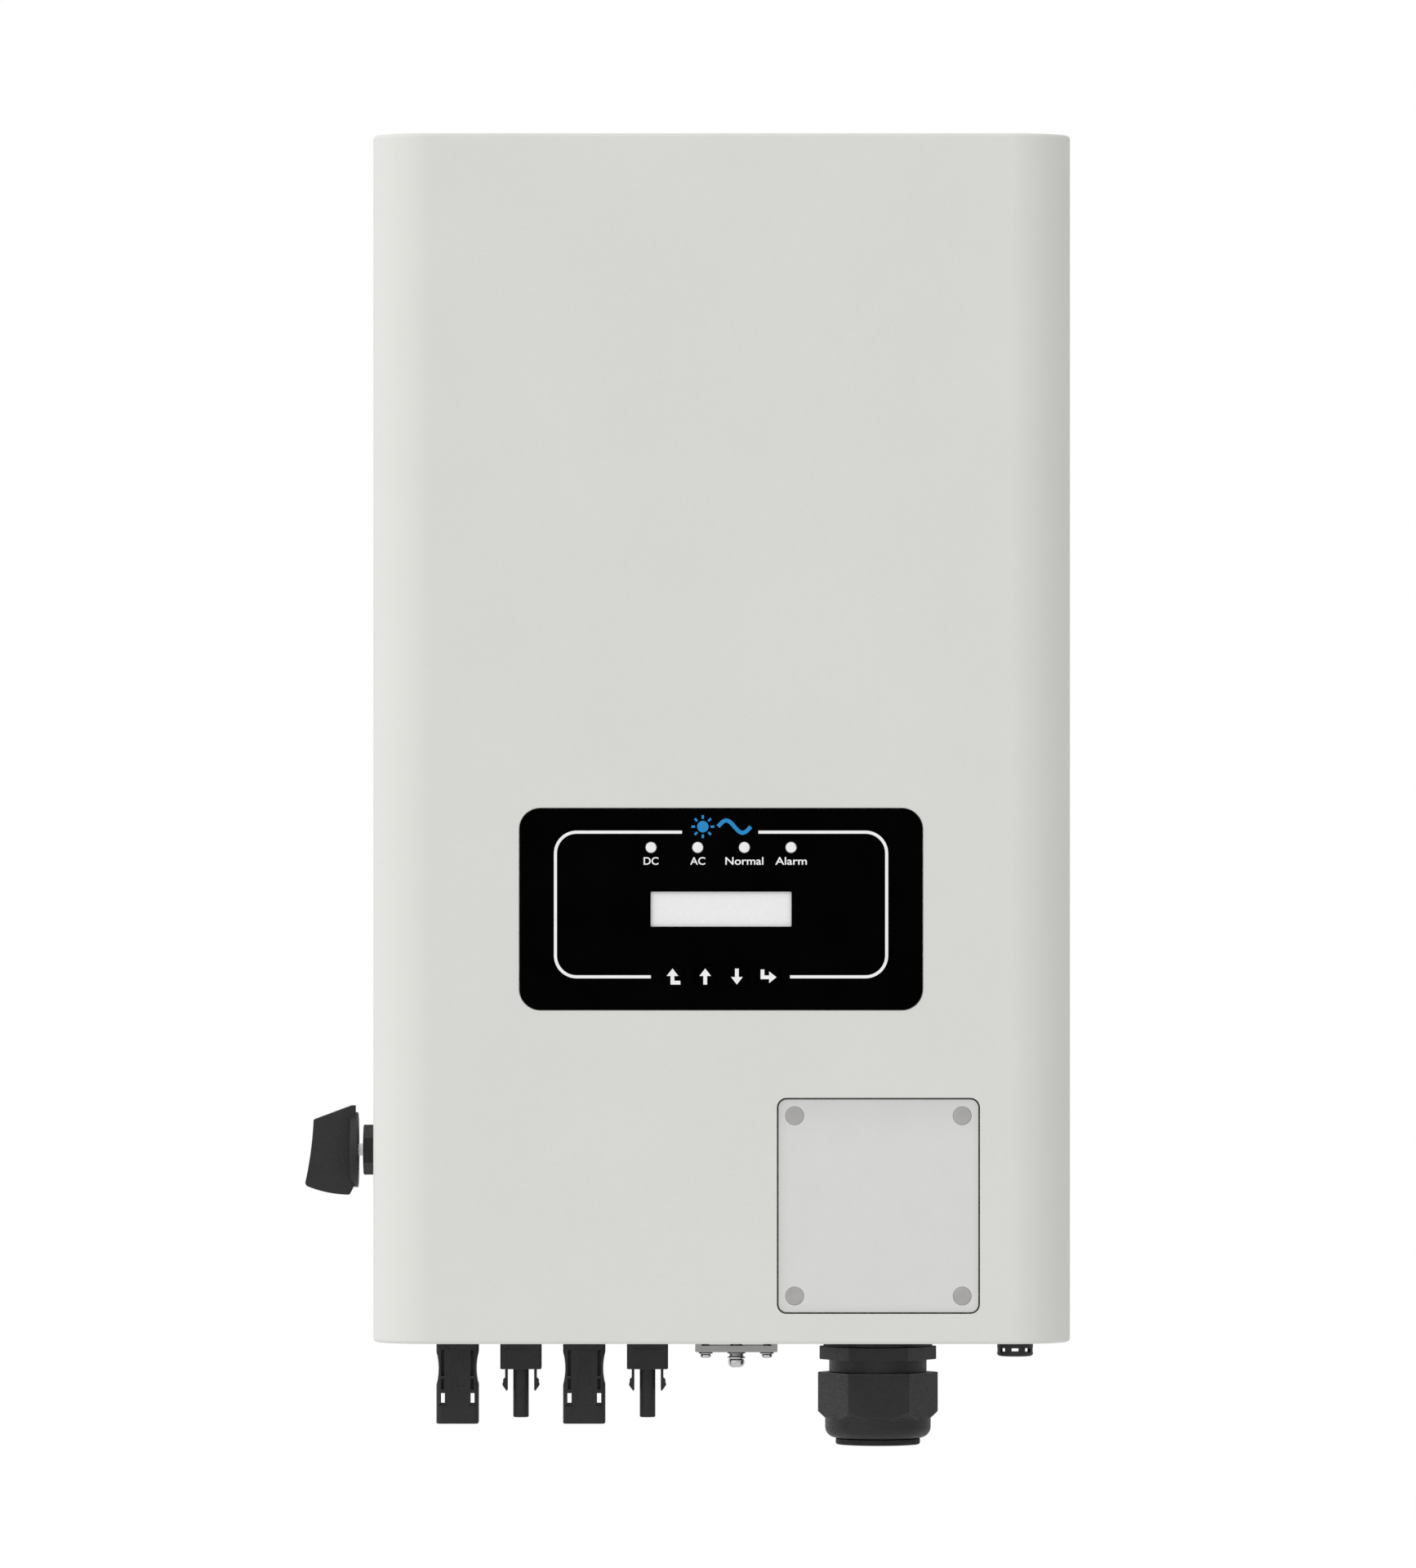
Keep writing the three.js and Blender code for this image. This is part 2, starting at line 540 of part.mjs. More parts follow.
function pvConnectors(parent) {
  pvPlaces().forEach((x, k) => {
    const shape = k % 2 === 0 ? pvSocket() : pvPlug();
    const connector = mesh(`pv_connector_${k + 1}`, shape, blackNylon(), parent);
    connector.position.set(x, FITTINGS_Y, BOTTOM_Z);
    const low = HOUSING_WALL + GAP;
    const ring = cut(prism(hexagon(20), "z", low, low + 5), bar(6.3, "z", low - 1, low + 6));
    const nut = mesh(`pv_nut_${k + 1}`, ring, blackNylon(), parent);
    nut.position.set(x, FITTINGS_Y, BOTTOM_Z);
  });
}

// ---------------------------------------------------------------- earthing

function earthing(parent) {
  const group = new THREE.Group();
  group.position.set(EARTH_X, FITTINGS_Y, BOTTOM_Z);
  parent.add(group);

  // A bridge of thick strip: two feet on the housing's floor and a flat between them.
  const underside = [[-19.7, -GAP], [-19.7, -7.6], [19.7, -7.6], [19.7, -GAP]];
  const bridge = [...underside, [17, -GAP], [17, -4.6], [-17, -4.6], [-17, -GAP]];
  const strip = prism(polygon(bridge), "y", -9, 9);
  const holes = [[-14.65, 2.1], [0, 3.2], [14.65, 2.1]].map(([x, r]) => bar(r, "z", -9, 0, x, 0, SMALL));
  mesh("earth_plate", cut(strip, ...holes), castAluminium(), group);

  const shank = [[0, 8], [1.75, 8], [1.75, -7.9]];
  const pan = [...shank, [3.4, -7.9], [3.4, -8.7], [2.55, -8.9], [2.4, -10.2], [1.6, -10.8], [0, -10.8]];
  [["left", -14.65], ["right", 14.65]].forEach(([side, x]) => {
    const screw = mesh(`earth_screw_${side}`, turned(pan, "z", SMALL), brightSteel(), group);
    screw.position.x = x;
  });

  const stud = [[0, 10], [2.85, 10], [2.85, -7.9]];
  const washers = [[4.4, -7.9], [4.4, -8.5], [3.4, -8.6], [3.4, -10], [4.4, -10.1], [4.4, -10.9], [3, -11]];
  const head = [[3, -11.3], [3.95, -11.6], [3.9, -13.4], [3.2, -14.8], [1.8, -15.4], [0, -15.4]];
  mesh("earth_terminal_screw", turned([...stud, ...washers, ...head], "z", ROUND), brightSteel(), group);
}

// ---------------------------------------------------------------- cable gland

function gland(parent) {
  const group = new THREE.Group();
  group.position.set(GLAND_X, FITTINGS_Y, BOTTOM_Z);
  parent.add(group);

  const ring = turned([[20.5, -4.5], [26.2, -4.5], [26.2, -2.3], [20.5, -2.3]], "z", FINE);
  mesh("gland_washer", ring, blackRubber(), group);

  const flange = prism(hexagon(56.1), "z", -11.3, -4.8);
  const neck = [[20, -17], [23.35, -17], [23.35, -11], [19.9, -11]];
  const barrel = turned([[0, -36], [20, -36], ...neck, [19.9, 15], [0, 15]], "z", FINE);
  const bore = turned([[0, 16], [16, 16], [16, -20], [18, -22], [18, -37], [0, -37]], "z", FINE);
  mesh("gland_body", cut(join(flange, barrel), bore), blackNylon(), group);

  const lockLow = HOUSING_WALL + GAP;
  const thread = bar(20.3, "z", lockLow - 1, lockLow + 8, 0, 0, FINE);
  const lockNut = cut(prism(hexagon(54), "z", lockLow, lockLow + 7), thread);
  mesh("gland_lock_nut", lockNut, blackNylon(), group);

  // The nut: a hexagon whose corners are turned off towards the dome that squeezes the seal.
  const blank = prism(hexagon(57.7), "z", -40.2, -17.3);
  const corners = [[28.3, -17.3], [29, -18.2], [29, -36], [25.1, -39.6], [25.1, -40.2]];
  const cone = turned([[0, -17.3], ...corners, [0, -40.2]], "z", FINE);
  const domeArc = [0, 1, 2, 3, 4, 5, 6].map((k) => {
    const turn = (k * Math.PI) / 12;
    return [20.2 + 5.1 * Math.cos(turn), -43.4 - 5.3 * Math.sin(turn)];
  });
  const dome = turned([[0, -38], [25.3, -38], ...domeArc, [0, -48.7]], "z", FINE);
  const well = turned([[0, -16], [20.4, -16], [20.4, -38], [18.1, -41], [18.1, -50], [0, -50]], "z", FINE);
  mesh("gland_nut", cut(join(blank.intersect(cone), dome), well), blackNylon(), group);

  const sleeve = [[11.5, -24], [17.6, -24], [17.6, -49]];
  const lip = [[20.2, -49], [20.2, -51.4], [19.6, -51.9], [12.5, -51.9], [11.5, -50.5]];
  mesh("gland_seal", turned([...sleeve, ...lip], "z", FINE), blackRubber(), group);
}

// ---------------------------------------------------------------- breather

function breather(parent) {
  const group = new THREE.Group();
  group.position.set(BREATHER_X, FITTINGS_Y, BOTTOM_Z);
  parent.add(group);

  const side = [[7.6, -9.8], [8.6, -9], [8.6, -GAP], [5.8, -GAP]];
  const cap = turned([[0, -9.8], ...side, [5.8, 12], [0, 12]], "z");
  const chamber = bar(6.9, "z", -7.9, -5.8, 0, 0, ROUND);
  const slots = [0, 45, 90, 135].map((turn) => block(-12, 12, -1.8, 1.8, -7.9, -5.8).rotate([0, 0, turn]));
  const airway = bar(3, "z", -6, 13, 0, 0, SMALL);
  mesh("breather_cap", cut(cap, chamber, ...slots, airway), blackNylon(), group);

  const low = HOUSING_WALL + GAP;
  const nut = cut(prism(hexagon(18), "z", low, low + 4), bar(6.1, "z", low - 1, low + 5));
  mesh("breather_nut", nut, blackNylon(), group);
}

// ---------------------------------------------------------------- electronics

const POWER_BOARD_Y = -103.7; // front face of the power board

function powerStage(parent) {
  const board = block(-145, 145, POWER_BOARD_Y, POWER_BOARD_Y + 1.6, -158, 256);
  mesh("power_board", board, circuitBoard(), parent);

  const moduleBack = BACK_Y;
  mesh("power_module", block(-60, 60, moduleBack - 24, moduleBack, 70, 130), potting(), parent);

  const front = POWER_BOARD_Y - GAP;
  [-35, 35].forEach((x, k) => {
    const can = [[0, front], [17.5, front], [17.5, front - 44], [16.3, front - 45], [0, front - 45]];
    const capacitor = mesh(`bus_capacitor_${k + 1}`, turned(can, "y", ROUND), blackSleeve(), parent);
    capacitor.position.set(x, 0, 60);
  });

  const outside = [[14, -26], [30, -26], [32, -22], [32, -4], [30, 0]];
  const choke = [...outside, [14, 0], [12, -4], [12, -22]].map(([radius, y]) => [radius, front + y]);
  const filter = mesh("filter_choke", turned(choke, "y", FINE), copperWinding(), parent);
  filter.position.set(80, 0, -100);

  mesh("boost_inductor", block(-130, -50, front - 50, front, -140, -60), castAluminium(), parent);
  mesh("grid_relay", block(100, 140, front - 24, front, -40, 20), potting(), parent);
}

function controlBoard(parent) {
  const slab = block(-85, 85, -171.6, -170, -60, 60);
  const leg = (x, z) => bar(3, "y", -171, POWER_BOARD_Y - GAP, x, z, SMALL);
  const legs = [-79, 79].flatMap((x) => [-54, 54].map((z) => leg(x, z)));
  mesh("control_board", join(slab, ...legs), circuitBoard(), parent);
}

function acTerminals(parent) {
  const group = new THREE.Group();
  group.position.set(HATCH.x, 0, HATCH.z + 6);
  parent.add(group);
  const backWall = BACK_Y - HOUSING_WALL;
  const stand = block(-34, 34, -132, backWall - GAP, 15, 21);
  const base = block(-34, 34, -150, -130, 2, 26);
  const entries = spread(5, 13).map((x) => block(x - 4, x + 4, -146, -136, 0, 10));
  const screws = spread(5, 13).map((x) => bar(3, "y", -151, -145, x, 18, SMALL));
  mesh("ac_terminal_block", cut(join(base, stand), ...entries, ...screws), terminalGreen(), group);
}

// ---------------------------------------------------------------- assembly

const inverter = new THREE.Group();
wallBracket(inverter);
frontCover(inverter);
rearHousing(inverter);
housingGasket(inverter);
heatSink(inverter);
hanger(inverter);
hangerScrews(inverter);
wiringCover(inverter);
display(inverter);
dcSwitch(inverter);
pvConnectors(inverter);
earthing(inverter);
gland(inverter);
breather(inverter);
powerStage(inverter);
controlBoard(inverter);
acTerminals(inverter);

export default inverter;
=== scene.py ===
# %% [markdown]
# # A string inverter
# A string inverter turns the direct current of a row of solar panels into mains current. It hangs on a
# wall: a pale painted cabinet in front of a finned heat sink, with a display, a wiring cover, a switch
# on its left side and all its plugs below. This lesson dresses the working model of one: the frame
# brings the parts, their places and their joints, and each cell makes one visible piece or one finish.

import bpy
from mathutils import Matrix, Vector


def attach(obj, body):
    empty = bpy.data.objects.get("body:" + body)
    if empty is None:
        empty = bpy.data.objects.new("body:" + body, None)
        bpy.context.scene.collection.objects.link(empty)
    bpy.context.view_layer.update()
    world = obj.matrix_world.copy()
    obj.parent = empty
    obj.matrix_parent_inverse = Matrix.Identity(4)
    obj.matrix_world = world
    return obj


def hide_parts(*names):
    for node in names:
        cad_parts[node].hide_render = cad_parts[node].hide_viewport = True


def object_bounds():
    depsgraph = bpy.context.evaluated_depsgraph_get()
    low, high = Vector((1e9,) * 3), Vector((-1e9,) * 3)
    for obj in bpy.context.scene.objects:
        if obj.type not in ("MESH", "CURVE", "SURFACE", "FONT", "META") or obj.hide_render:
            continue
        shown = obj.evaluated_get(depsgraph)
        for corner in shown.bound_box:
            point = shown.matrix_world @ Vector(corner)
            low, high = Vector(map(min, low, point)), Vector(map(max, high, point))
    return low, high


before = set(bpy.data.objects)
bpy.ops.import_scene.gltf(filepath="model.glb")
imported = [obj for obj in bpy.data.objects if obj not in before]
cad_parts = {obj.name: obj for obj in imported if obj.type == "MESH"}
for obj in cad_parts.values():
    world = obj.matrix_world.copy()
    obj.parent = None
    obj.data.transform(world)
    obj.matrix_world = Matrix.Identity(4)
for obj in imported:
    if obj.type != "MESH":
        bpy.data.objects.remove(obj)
cad_low, cad_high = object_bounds()

# %% Blender's modules and the unit
import math

import bmesh
import bpy
from mathutils import Matrix, Vector

MM = 0.001  # Blender works in metres, and this object is drawn in millimetres

# %% [markdown]
# ## The camera
# A product picture is taken from far away with a long lens, so that the sides hardly narrow. The camera
# stands level, straight in front of the cabinet and a little to the left of its middle and below it.

# %% Camera
CAMERA_DISTANCE = 5.8  # metres, from the front face
CAMERA_X, CAMERA_Z = -6.45, -21.4


def add(name, data):
    """A new object in the scene."""
    made = bpy.data.objects.new(name, data)
    bpy.context.scene.collection.objects.link(made)
    return made


camera = add("camera", bpy.data.cameras.new("camera"))
bpy.context.scene.camera = camera
camera.location = (CAMERA_X * MM, cad_low.y - CAMERA_DISTANCE, CAMERA_Z * MM)
camera.rotation_euler = (math.radians(90), 0, 0)
camera.data.lens = 282.5
camera.data.sensor_width = 36
camera.data.clip_end = 100
print("camera at", tuple(round(c, 3) for c in camera.location), "with a", camera.data.lens, "mm lens")

# %% [markdown]
# ## Light
# The room is a plain white studio. Its light comes from all sides, a little more from the upper left
# than from the lower right, so a surface gets steadily darker as it turns away: this shows how the round
# corners turn. A gradient over the whole world gives just that, and softly. A weak sun adds the faint
# shadows. The background is pure white only where the camera looks straight at it.

# %% World and key light
WORLD_LIGHT = 0.86
WORLD_SLOPE = (-0.34, -0.06, 0.22)  # how much brighter each direction is
WHITE = (1, 1, 1, 1)


def node(tree, kind, inputs=None, **settings):
    """Adds a node. An input may be a number, a colour or another node's output."""
    made = tree.nodes.new("ShaderNode" + kind)
    for name, value in settings.items():
        setattr(made, name, value)
    for name, value in (inputs or {}).items():
        if isinstance(value, bpy.types.NodeSocket):
            tree.links.new(value, made.inputs[name])
        else:
            made.inputs[name].default_value = value
    return made


world = bpy.data.worlds.new("studio")
bpy.context.scene.world = world
world.use_nodes = True
tree = world.node_tree
tree.nodes.clear()
direction = node(tree, "TexCoord").outputs["Generated"]
slope = node(tree, "VectorMath", {0: direction, 1: WORLD_SLOPE}, operation="DOT_PRODUCT").outputs["Value"]
level = node(tree, "Math", {0: slope, 1: WORLD_LIGHT}, operation="ADD").outputs[0]
ambient = node(tree, "Background", {"Color": WHITE, "Strength": level}).outputs[0]
backdrop = node(tree, "Background", {"Color": WHITE, "Strength": 1.0}).outputs[0]
seen = node(tree, "LightPath").outputs["Is Camera Ray"]
light = node(tree, "MixShader", {0: seen, 1: ambient, 2: backdrop}).outputs[0]
node(tree, "OutputWorld", {"Surface": light})

KEY_FROM = Vector((-0.60, -0.50, 0.62))
key = add("key_light", bpy.data.lights.new("key_light", "SUN"))
key.data.energy = 0.45
key.data.angle = math.radians(25)
key.rotation_mode = "QUATERNION"
key.rotation_quaternion = KEY_FROM.to_track_quat("Z", "Y")

view = bpy.context.scene.view_settings
view.view_transform = "Standard"
view.look = "None"
view.exposure = 0
view.gamma = 1
print("world light", WORLD_LIGHT, "key light", key.data.energy)

# %% [markdown]
# ## Drawing tools
# Nearly every piece here is one of two things: a flat outline pushed straight through space, or a
# profile turned about an axis. Blender has both as operators, but writing the points out keeps every
# size in the script, and lets one small function round any sharp corner.

# %% Outlines
def arc(cx, cy, radius, start, end, steps=10):
    """Points on an arc, from one angle to another in degrees."""
    turns = [math.radians(start + (end - start) * k / steps) for k in range(steps + 1)]
    return [(cx + radius * math.cos(t), cy + radius * math.sin(t)) for t in turns]


def rounded(width, height, radius, cx=0.0, cy=0.0, steps=10):
    """A rectangle with round corners, anticlockwise."""
    w, h = width / 2 - radius, height / 2 - radius
    corners = [(w, h, 0), (-w, h, 90), (-w, -h, 180), (w, -h, 270)]
    return [p for x, y, turn in corners for p in arc(cx + x, cy + y, radius, turn, turn + 90, steps)]


def circle(radius, cx=0.0, cy=0.0, steps=64):
    return arc(cx, cy, radius, 0, 360, steps)[:-1]


def hexagon(across):
    """A regular hexagon, this far across its corners, with the first one on the first axis."""
    return circle(across / 2, steps=6)


def soften(points, radius, closed=True, steps=4):
    """The same outline with each corner replaced by a curve close to an arc of at most this radius."""
    count, result = len(points), []
    for k, corner in enumerate(points):
        if not closed and k in (0, count - 1):
            result.append(corner)
            continue
        here = Vector(corner)
        before, after = Vector(points[k - 1]) - here, Vector(points[(k + 1) % count]) - here
        angle = before.angle(after) if before.length and after.length else math.pi
        if angle > math.radians(172):
            result.append(corner)
            continue
        reach = min(radius / math.tan(angle / 2), before.length * 0.49, after.length * 0.49)
        start, end = here + before.normalized() * reach, here + after.normalized() * reach
        for step in range(steps + 1):
            t = step / steps
            point = start * (1 - t) ** 2 + here * (2 * t * (1 - t)) + end * t ** 2
            result.append((point.x, point.y))
    return result


# %% [markdown]
# The next tools turn outlines into meshes. A prism keeps its outline's points and fills its ends, with
# holes if it has any. A turned piece repeats its profile round an axis. Both work in millimetres and
# are scaled down once, at the end.

# %% Meshes from outlines
from mathutils.geometry import tessellate_polygon

PLACE = {
    "x": lambda a, b, along: (along, a, b),
    "y": lambda a, b, along: (a, along, b),
    "z": lambda a, b, along: (a, b, along),
}


def clean(mesh):
    """Welds the points that lie together and turns the faces outwards."""
    work = bmesh.new()
    work.from_mesh(mesh)
    bmesh.ops.remove_doubles(work, verts=work.verts, dist=1e-7)
    bmesh.ops.recalc_face_normals(work, faces=work.faces)
    work.to_mesh(mesh)
    work.free()


def mesh_from(name, points, faces):
    """An object from points in millimetres."""
    mesh = bpy.data.meshes.new(name)
    mesh.from_pydata([Vector(p) * MM for p in points], [], faces)
    clean(mesh)
    return add(name, mesh)


def prism(name, axis, low, high, outline, holes=()):
    """An outline pushed along an axis, with straight holes through it."""
    loops = [list(outline), *[list(h) for h in holes]]
    flat = [p for loop in loops for p in loop]
    count = len(flat)
    points = [PLACE[axis](a, b, low) for a, b in flat] + [PLACE[axis](a, b, high) for a, b in flat]
    if holes:
        caps = tessellate_polygon([[Vector((a, b, 0)) for a, b in loop] for loop in loops])
    else:
        caps = [tuple(range(count))]
    faces = [tuple(face) for face in caps] + [tuple(k + count for k in face) for face in caps]
    start = 0
    for loop in loops:
        size = len(loop)
        for k in range(size):
            a, b = start + k, start + (k + 1) % size
            faces.append((a, b, b + count, a + count))
        start += size
    return mesh_from(name, points, faces)


def turned(name, axis, profile, at=(0, 0, 0), sides=96):
    """A profile of (radius, place along the axis) turned about that axis."""
    points, faces, rings = [], [], []
    for radius, along in profile:
        if radius == 0:
            rings.append([len(points)] * sides)
            points.append(PLACE[axis](0, 0, along))
            continue
        rings.append(list(range(len(points), len(points) + sides)))
        points += [PLACE[axis](a, b, along) for a, b in circle(radius, steps=sides)]
    hollow = profile[0][0] > 0
    pairs = list(zip(rings, rings[1:])) + ([(rings[-1], rings[0])] if hollow else [])
    for lower, upper in pairs:
        for k in range(sides):
            j = (k + 1) % sides
            face = list(dict.fromkeys((lower[k], lower[j], upper[j], upper[k])))
            if len(face) > 2:
                faces.append(face)
    return mesh_from(name, [Vector(p) + Vector(at) for p in points], faces)


def rod(name, axis, radius, low, high, at=(0, 0, 0), sides=96):
    """A plain cylinder, used for bores and necks."""
    return turned(name, axis, [(0, low), (radius, low), (radius, high), (0, high)], at, sides)


def box(name, low, high):
    """A plain block between two corners, used to cut and to join."""
    outline = [(low[0], low[1]), (high[0], low[1]), (high[0], high[1]), (low[0], high[1])]
    return prism(name, "z", low[2], high[2], outline)


# %% [markdown]
# Pieces are cut and joined with Boolean modifiers, and every edge that is still sharp gets a small
# bevel: nothing that was moulded, cast or painted has a perfectly sharp edge, and it is the bevel that
# catches the light. Weighted normals then keep the big flat faces flat, although everything is shaded
# smooth.

# %% Cutting, joining and bevelling
def settle(piece):
    """Replaces the piece's mesh with what its modifiers make of it."""
    bpy.context.view_layer.update()
    shown = piece.evaluated_get(bpy.context.evaluated_depsgraph_get())
    made = bpy.data.meshes.new_from_object(shown)
    piece.modifiers.clear()
    piece.data = made
    made.name = piece.name
    return piece


def boolean(piece, others, operation):
    for other in others:
        modifier = piece.modifiers.new(operation.lower(), "BOOLEAN")
        modifier.operation = operation
        modifier.solver = "EXACT"
        modifier.object = other
    settle(piece)
    for other in others:
        bpy.data.objects.remove(other)
    return piece


def cut(piece, *tools):
    return boolean(piece, tools, "DIFFERENCE")


def join(piece, *others):
    return boolean(piece, others, "UNION")


def keep(piece, *others):
    return boolean(piece, others, "INTERSECT")


def bevel(piece, width, steps=3, angle=35):
    """Rounds every edge sharper than the angle. The width is in millimetres."""
    modifier = piece.modifiers.new("bevel", "BEVEL")
    modifier.width = width * MM
    modifier.segments = steps
    modifier.limit_method = "ANGLE"
    modifier.angle_limit = math.radians(angle)
    modifier.use_clamp_overlap = True
    return settle(piece)


def shade(piece, angle=40):
    """Smooth shading that stops at sharp edges and leaves flat faces flat."""
    work = bmesh.new()
    work.from_mesh(piece.data)
    for face in work.faces:
        face.smooth = True
    for edge in work.edges:
        if len(edge.link_faces) == 2 and edge.calc_face_angle(0) > math.radians(angle):
            edge.smooth = False
    work.to_mesh(piece.data)
    work.free()
    weighted = piece.modifiers.new("weighted normals", "WEIGHTED_NORMAL")
    weighted.keep_sharp = True
    weighted.weight = 80
    return piece


def fit(piece, body, slot, material, *nodes):
    """Shades and paints a finished piece, sets it on its body, and lets it stand for its CAD parts."""
    shade(piece)
    piece.data.materials.clear()
    piece.data.materials.append(material)
    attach(piece, body)
    if nodes:
        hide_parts(*nodes)
    print(f"{piece.name}: {len(piece.data.polygons)} faces on {body}")
    return piece


def move(piece, x, y, z):
    """Shifts the mesh itself, so that the object stays at the origin of the frame."""
    piece.data.transform(Matrix.Translation(Vector((x, y, z)) * MM))
    return piece


def twin(piece, name, x, y, z):
    """A copy of a bare mesh, shifted."""
    return move(add(name, piece.data.copy()), x, y, z)


def strip(path, width):
    """The outline of a band of even width along an open path."""
    left, right = [], []
    for k, here in enumerate(map(Vector, path)):
        before = (here - Vector(path[k - 1])).normalized() if k else None
        after = (Vector(path[k + 1]) - here).normalized() if k < len(path) - 1 else None
        ahead = ((before or after) + (after or before)).normalized()
        across = Vector((-ahead.y, ahead.x))
        square = after or before
        reach = width / 2 / max(0.4, across.dot(Vector((-square.y, square.x))))
        left.append(tuple(here + across * reach))
        right.append(tuple(here - across * reach))
    return left + right[::-1]


# %% [markdown]
# ## The floor
# The inverter hangs on a wall, so the floor is well below it. It is a wide pale disc that only sends a
# little light up to the undersides.

# %% Floor
FLOOR_BELOW = 950  # millimetres under the lowest part
FLOOR_GREY = (0.82, 0.82, 0.82, 1)
floor_z = cad_low.z / MM - FLOOR_BELOW
profile = [(0, floor_z), (6000, floor_z), (6000, floor_z - 20), (0, floor_z - 20)]
floor = turned("studio_floor", "z", profile)
floor_paint = bpy.data.materials.new("studio_floor")
floor_paint.use_nodes = True
floor_shader = floor_paint.node_tree.nodes["Principled BSDF"].inputs
floor_shader["Base Color"].default_value = FLOOR_GREY
floor_shader["Roughness"].default_value = 0.8
floor.data.materials.append(floor_paint)
print("floor at", round(floor_z), "mm")

# %% [markdown]
# ## How a finish is built
# Every finish here is made of the same few steps: find the place on the object, make slow blotches for
# the colour and for how shiny it is, make a fine grain for the relief, lighten the sharp edges, partly as
# handling wear and partly as a painted highlight, and darken the gaps with painted shade. Small functions
# for these steps keep each finish down to a few lines.

# %% Steps of a finish
BLACK = (0.0, 0.0, 0.0)


def begin(name, metal=0.0, specular=0.5):
    """A new material, its shader and the place on the object in metres."""
    material = bpy.data.materials.new(name)
    material.use_nodes = True
    tree = material.node_tree
    shader = tree.nodes["Principled BSDF"]
    shader.inputs["Metallic"].default_value = metal
    shader.inputs["Specular IOR Level"].default_value = specular
    return material, tree, shader, node(tree, "TexCoord").outputs["Object"]


def ramp(tree, value, low, high, start=0.0, end=1.0):
    """Stretches a value from low..high to start..end, smoothly and without overshoot."""
    ends = {"Value": value, "From Min": low, "From Max": high, "To Min": start, "To Max": end}
    return node(tree, "MapRange", ends, interpolation_type="SMOOTHSTEP").outputs["Result"]


def blotches(tree, where, size, detail=4.0, stretch=(1, 1, 1)):
    """Soft noise from 0 to 1 with features of this size in millimetres."""
    moved = node(tree, "Mapping", {"Vector": where, "Scale": stretch}).outputs["Vector"]
    noise = {"Vector": moved, "Scale": 1 / (size * MM), "Detail": detail, "Roughness": 0.6}
    return ramp(tree, node(tree, "TexNoise", noise).outputs["Fac"], 0.3, 0.7)


def blend(tree, amount, first, second):
    """Mixes two colours, each a tuple or another node's output."""
    made = node(tree, "Mix", data_type="RGBA")
    for socket, value in ((made.inputs[0], amount), (made.inputs[6], first), (made.inputs[7], second)):
        if isinstance(value, bpy.types.NodeSocket):
            tree.links.new(value, socket)
        else:
            socket.default_value = (*value, 1)
    return made.outputs[2]


def edges(tree, width):
    """1 on an edge that is sharp within this many millimetres, 0 on a flat face."""
    rounded_normal = node(tree, "Bevel", {"Radius": width * MM}, samples=4).outputs["Normal"]
    normal = node(tree, "NewGeometry").outputs["Normal"]
    match = node(tree, "VectorMath", {0: rounded_normal, 1: normal}, operation="DOT_PRODUCT")
    return ramp(tree, match.outputs["Value"], 0.99, 0.8)


def recesses(tree, reach):
    """1 deep in a gap as wide as this many millimetres, 0 in the open."""
    open_air = node(tree, "AmbientOcclusion", {"Distance": reach * MM}, samples=8).outputs["AO"]
    return ramp(tree, open_air, 0.9, 0.45)


def dress(tree, shader, colour, roughness, height, depth):
    """Gives the shader its colour, its roughness and bumps of this depth in millimetres."""
    bump = node(tree, "Bump", {"Height": height, "Distance": depth * MM, "Strength": 1.0})
    links = {"Base Color": colour, "Roughness": roughness, "Normal": bump.outputs["Normal"]}
    for name, value in links.items():
        tree.links.new(value, shader.inputs[name])


def finish(name, dark, light, rough, grain, depth, patch=40, metal=0.0, specular=0.5,
           stretch=(1, 1, 1), wear_and_highlight=None, edge=0.5, painted_recess_shade=None):
    """A finish with blotches of two colours, changing roughness, a grain and, if asked, edges lightened
    as wear and a painted highlight, and recesses darkened with painted shade. Grain, depth, patch and
    edge are in millimetres."""
    material, tree, shader, where = begin(name, metal, specular)
    colour = blend(tree, blotches(tree, where, patch), dark, light)
    # Edges lightened: partly handling wear, partly a painted highlight.
    if wear_and_highlight:
        colour = blend(tree, edges(tree, edge), colour, wear_and_highlight)
    # Recesses darkened with painted shade, from an ambient occlusion mask.
    if painted_recess_shade:
        colour = blend(tree, recesses(tree, 4), colour, painted_recess_shade)
    speckle = blotches(tree, where, grain * 3, 2.0, stretch)
    roughness = ramp(tree, speckle, 0, 1, *rough)
    dress(tree, shader, colour, roughness, blotches(tree, where, grain, 3.0, stretch), depth)
    return material


# %% [markdown]
# ## Paint, film and plastic
# The cabinet has a powder coat: fine grains of paint that melt into a skin with the faint waves of an
# orange peel. The wiring cover has the same paint, with painted shade from the rim of its shallow pocket
# along its edges, widest along the top. The black parts are glass-filled nylon, matt, with their moulded
# edges lightened as wear and as a painted highlight. The display film and its print have almost no shine.

# %% Paint, film and plastic
PAINT_ROUGH = (0.42, 0.56)
PAINT_GRAIN, PAINT_DEPTH = 0.9, 0.03
body_paint = finish("body_paint", (0.646, 0.653, 0.617), (0.656, 0.663, 0.627), PAINT_ROUGH,
                    PAINT_GRAIN, PAINT_DEPTH, patch=70, specular=0.4)

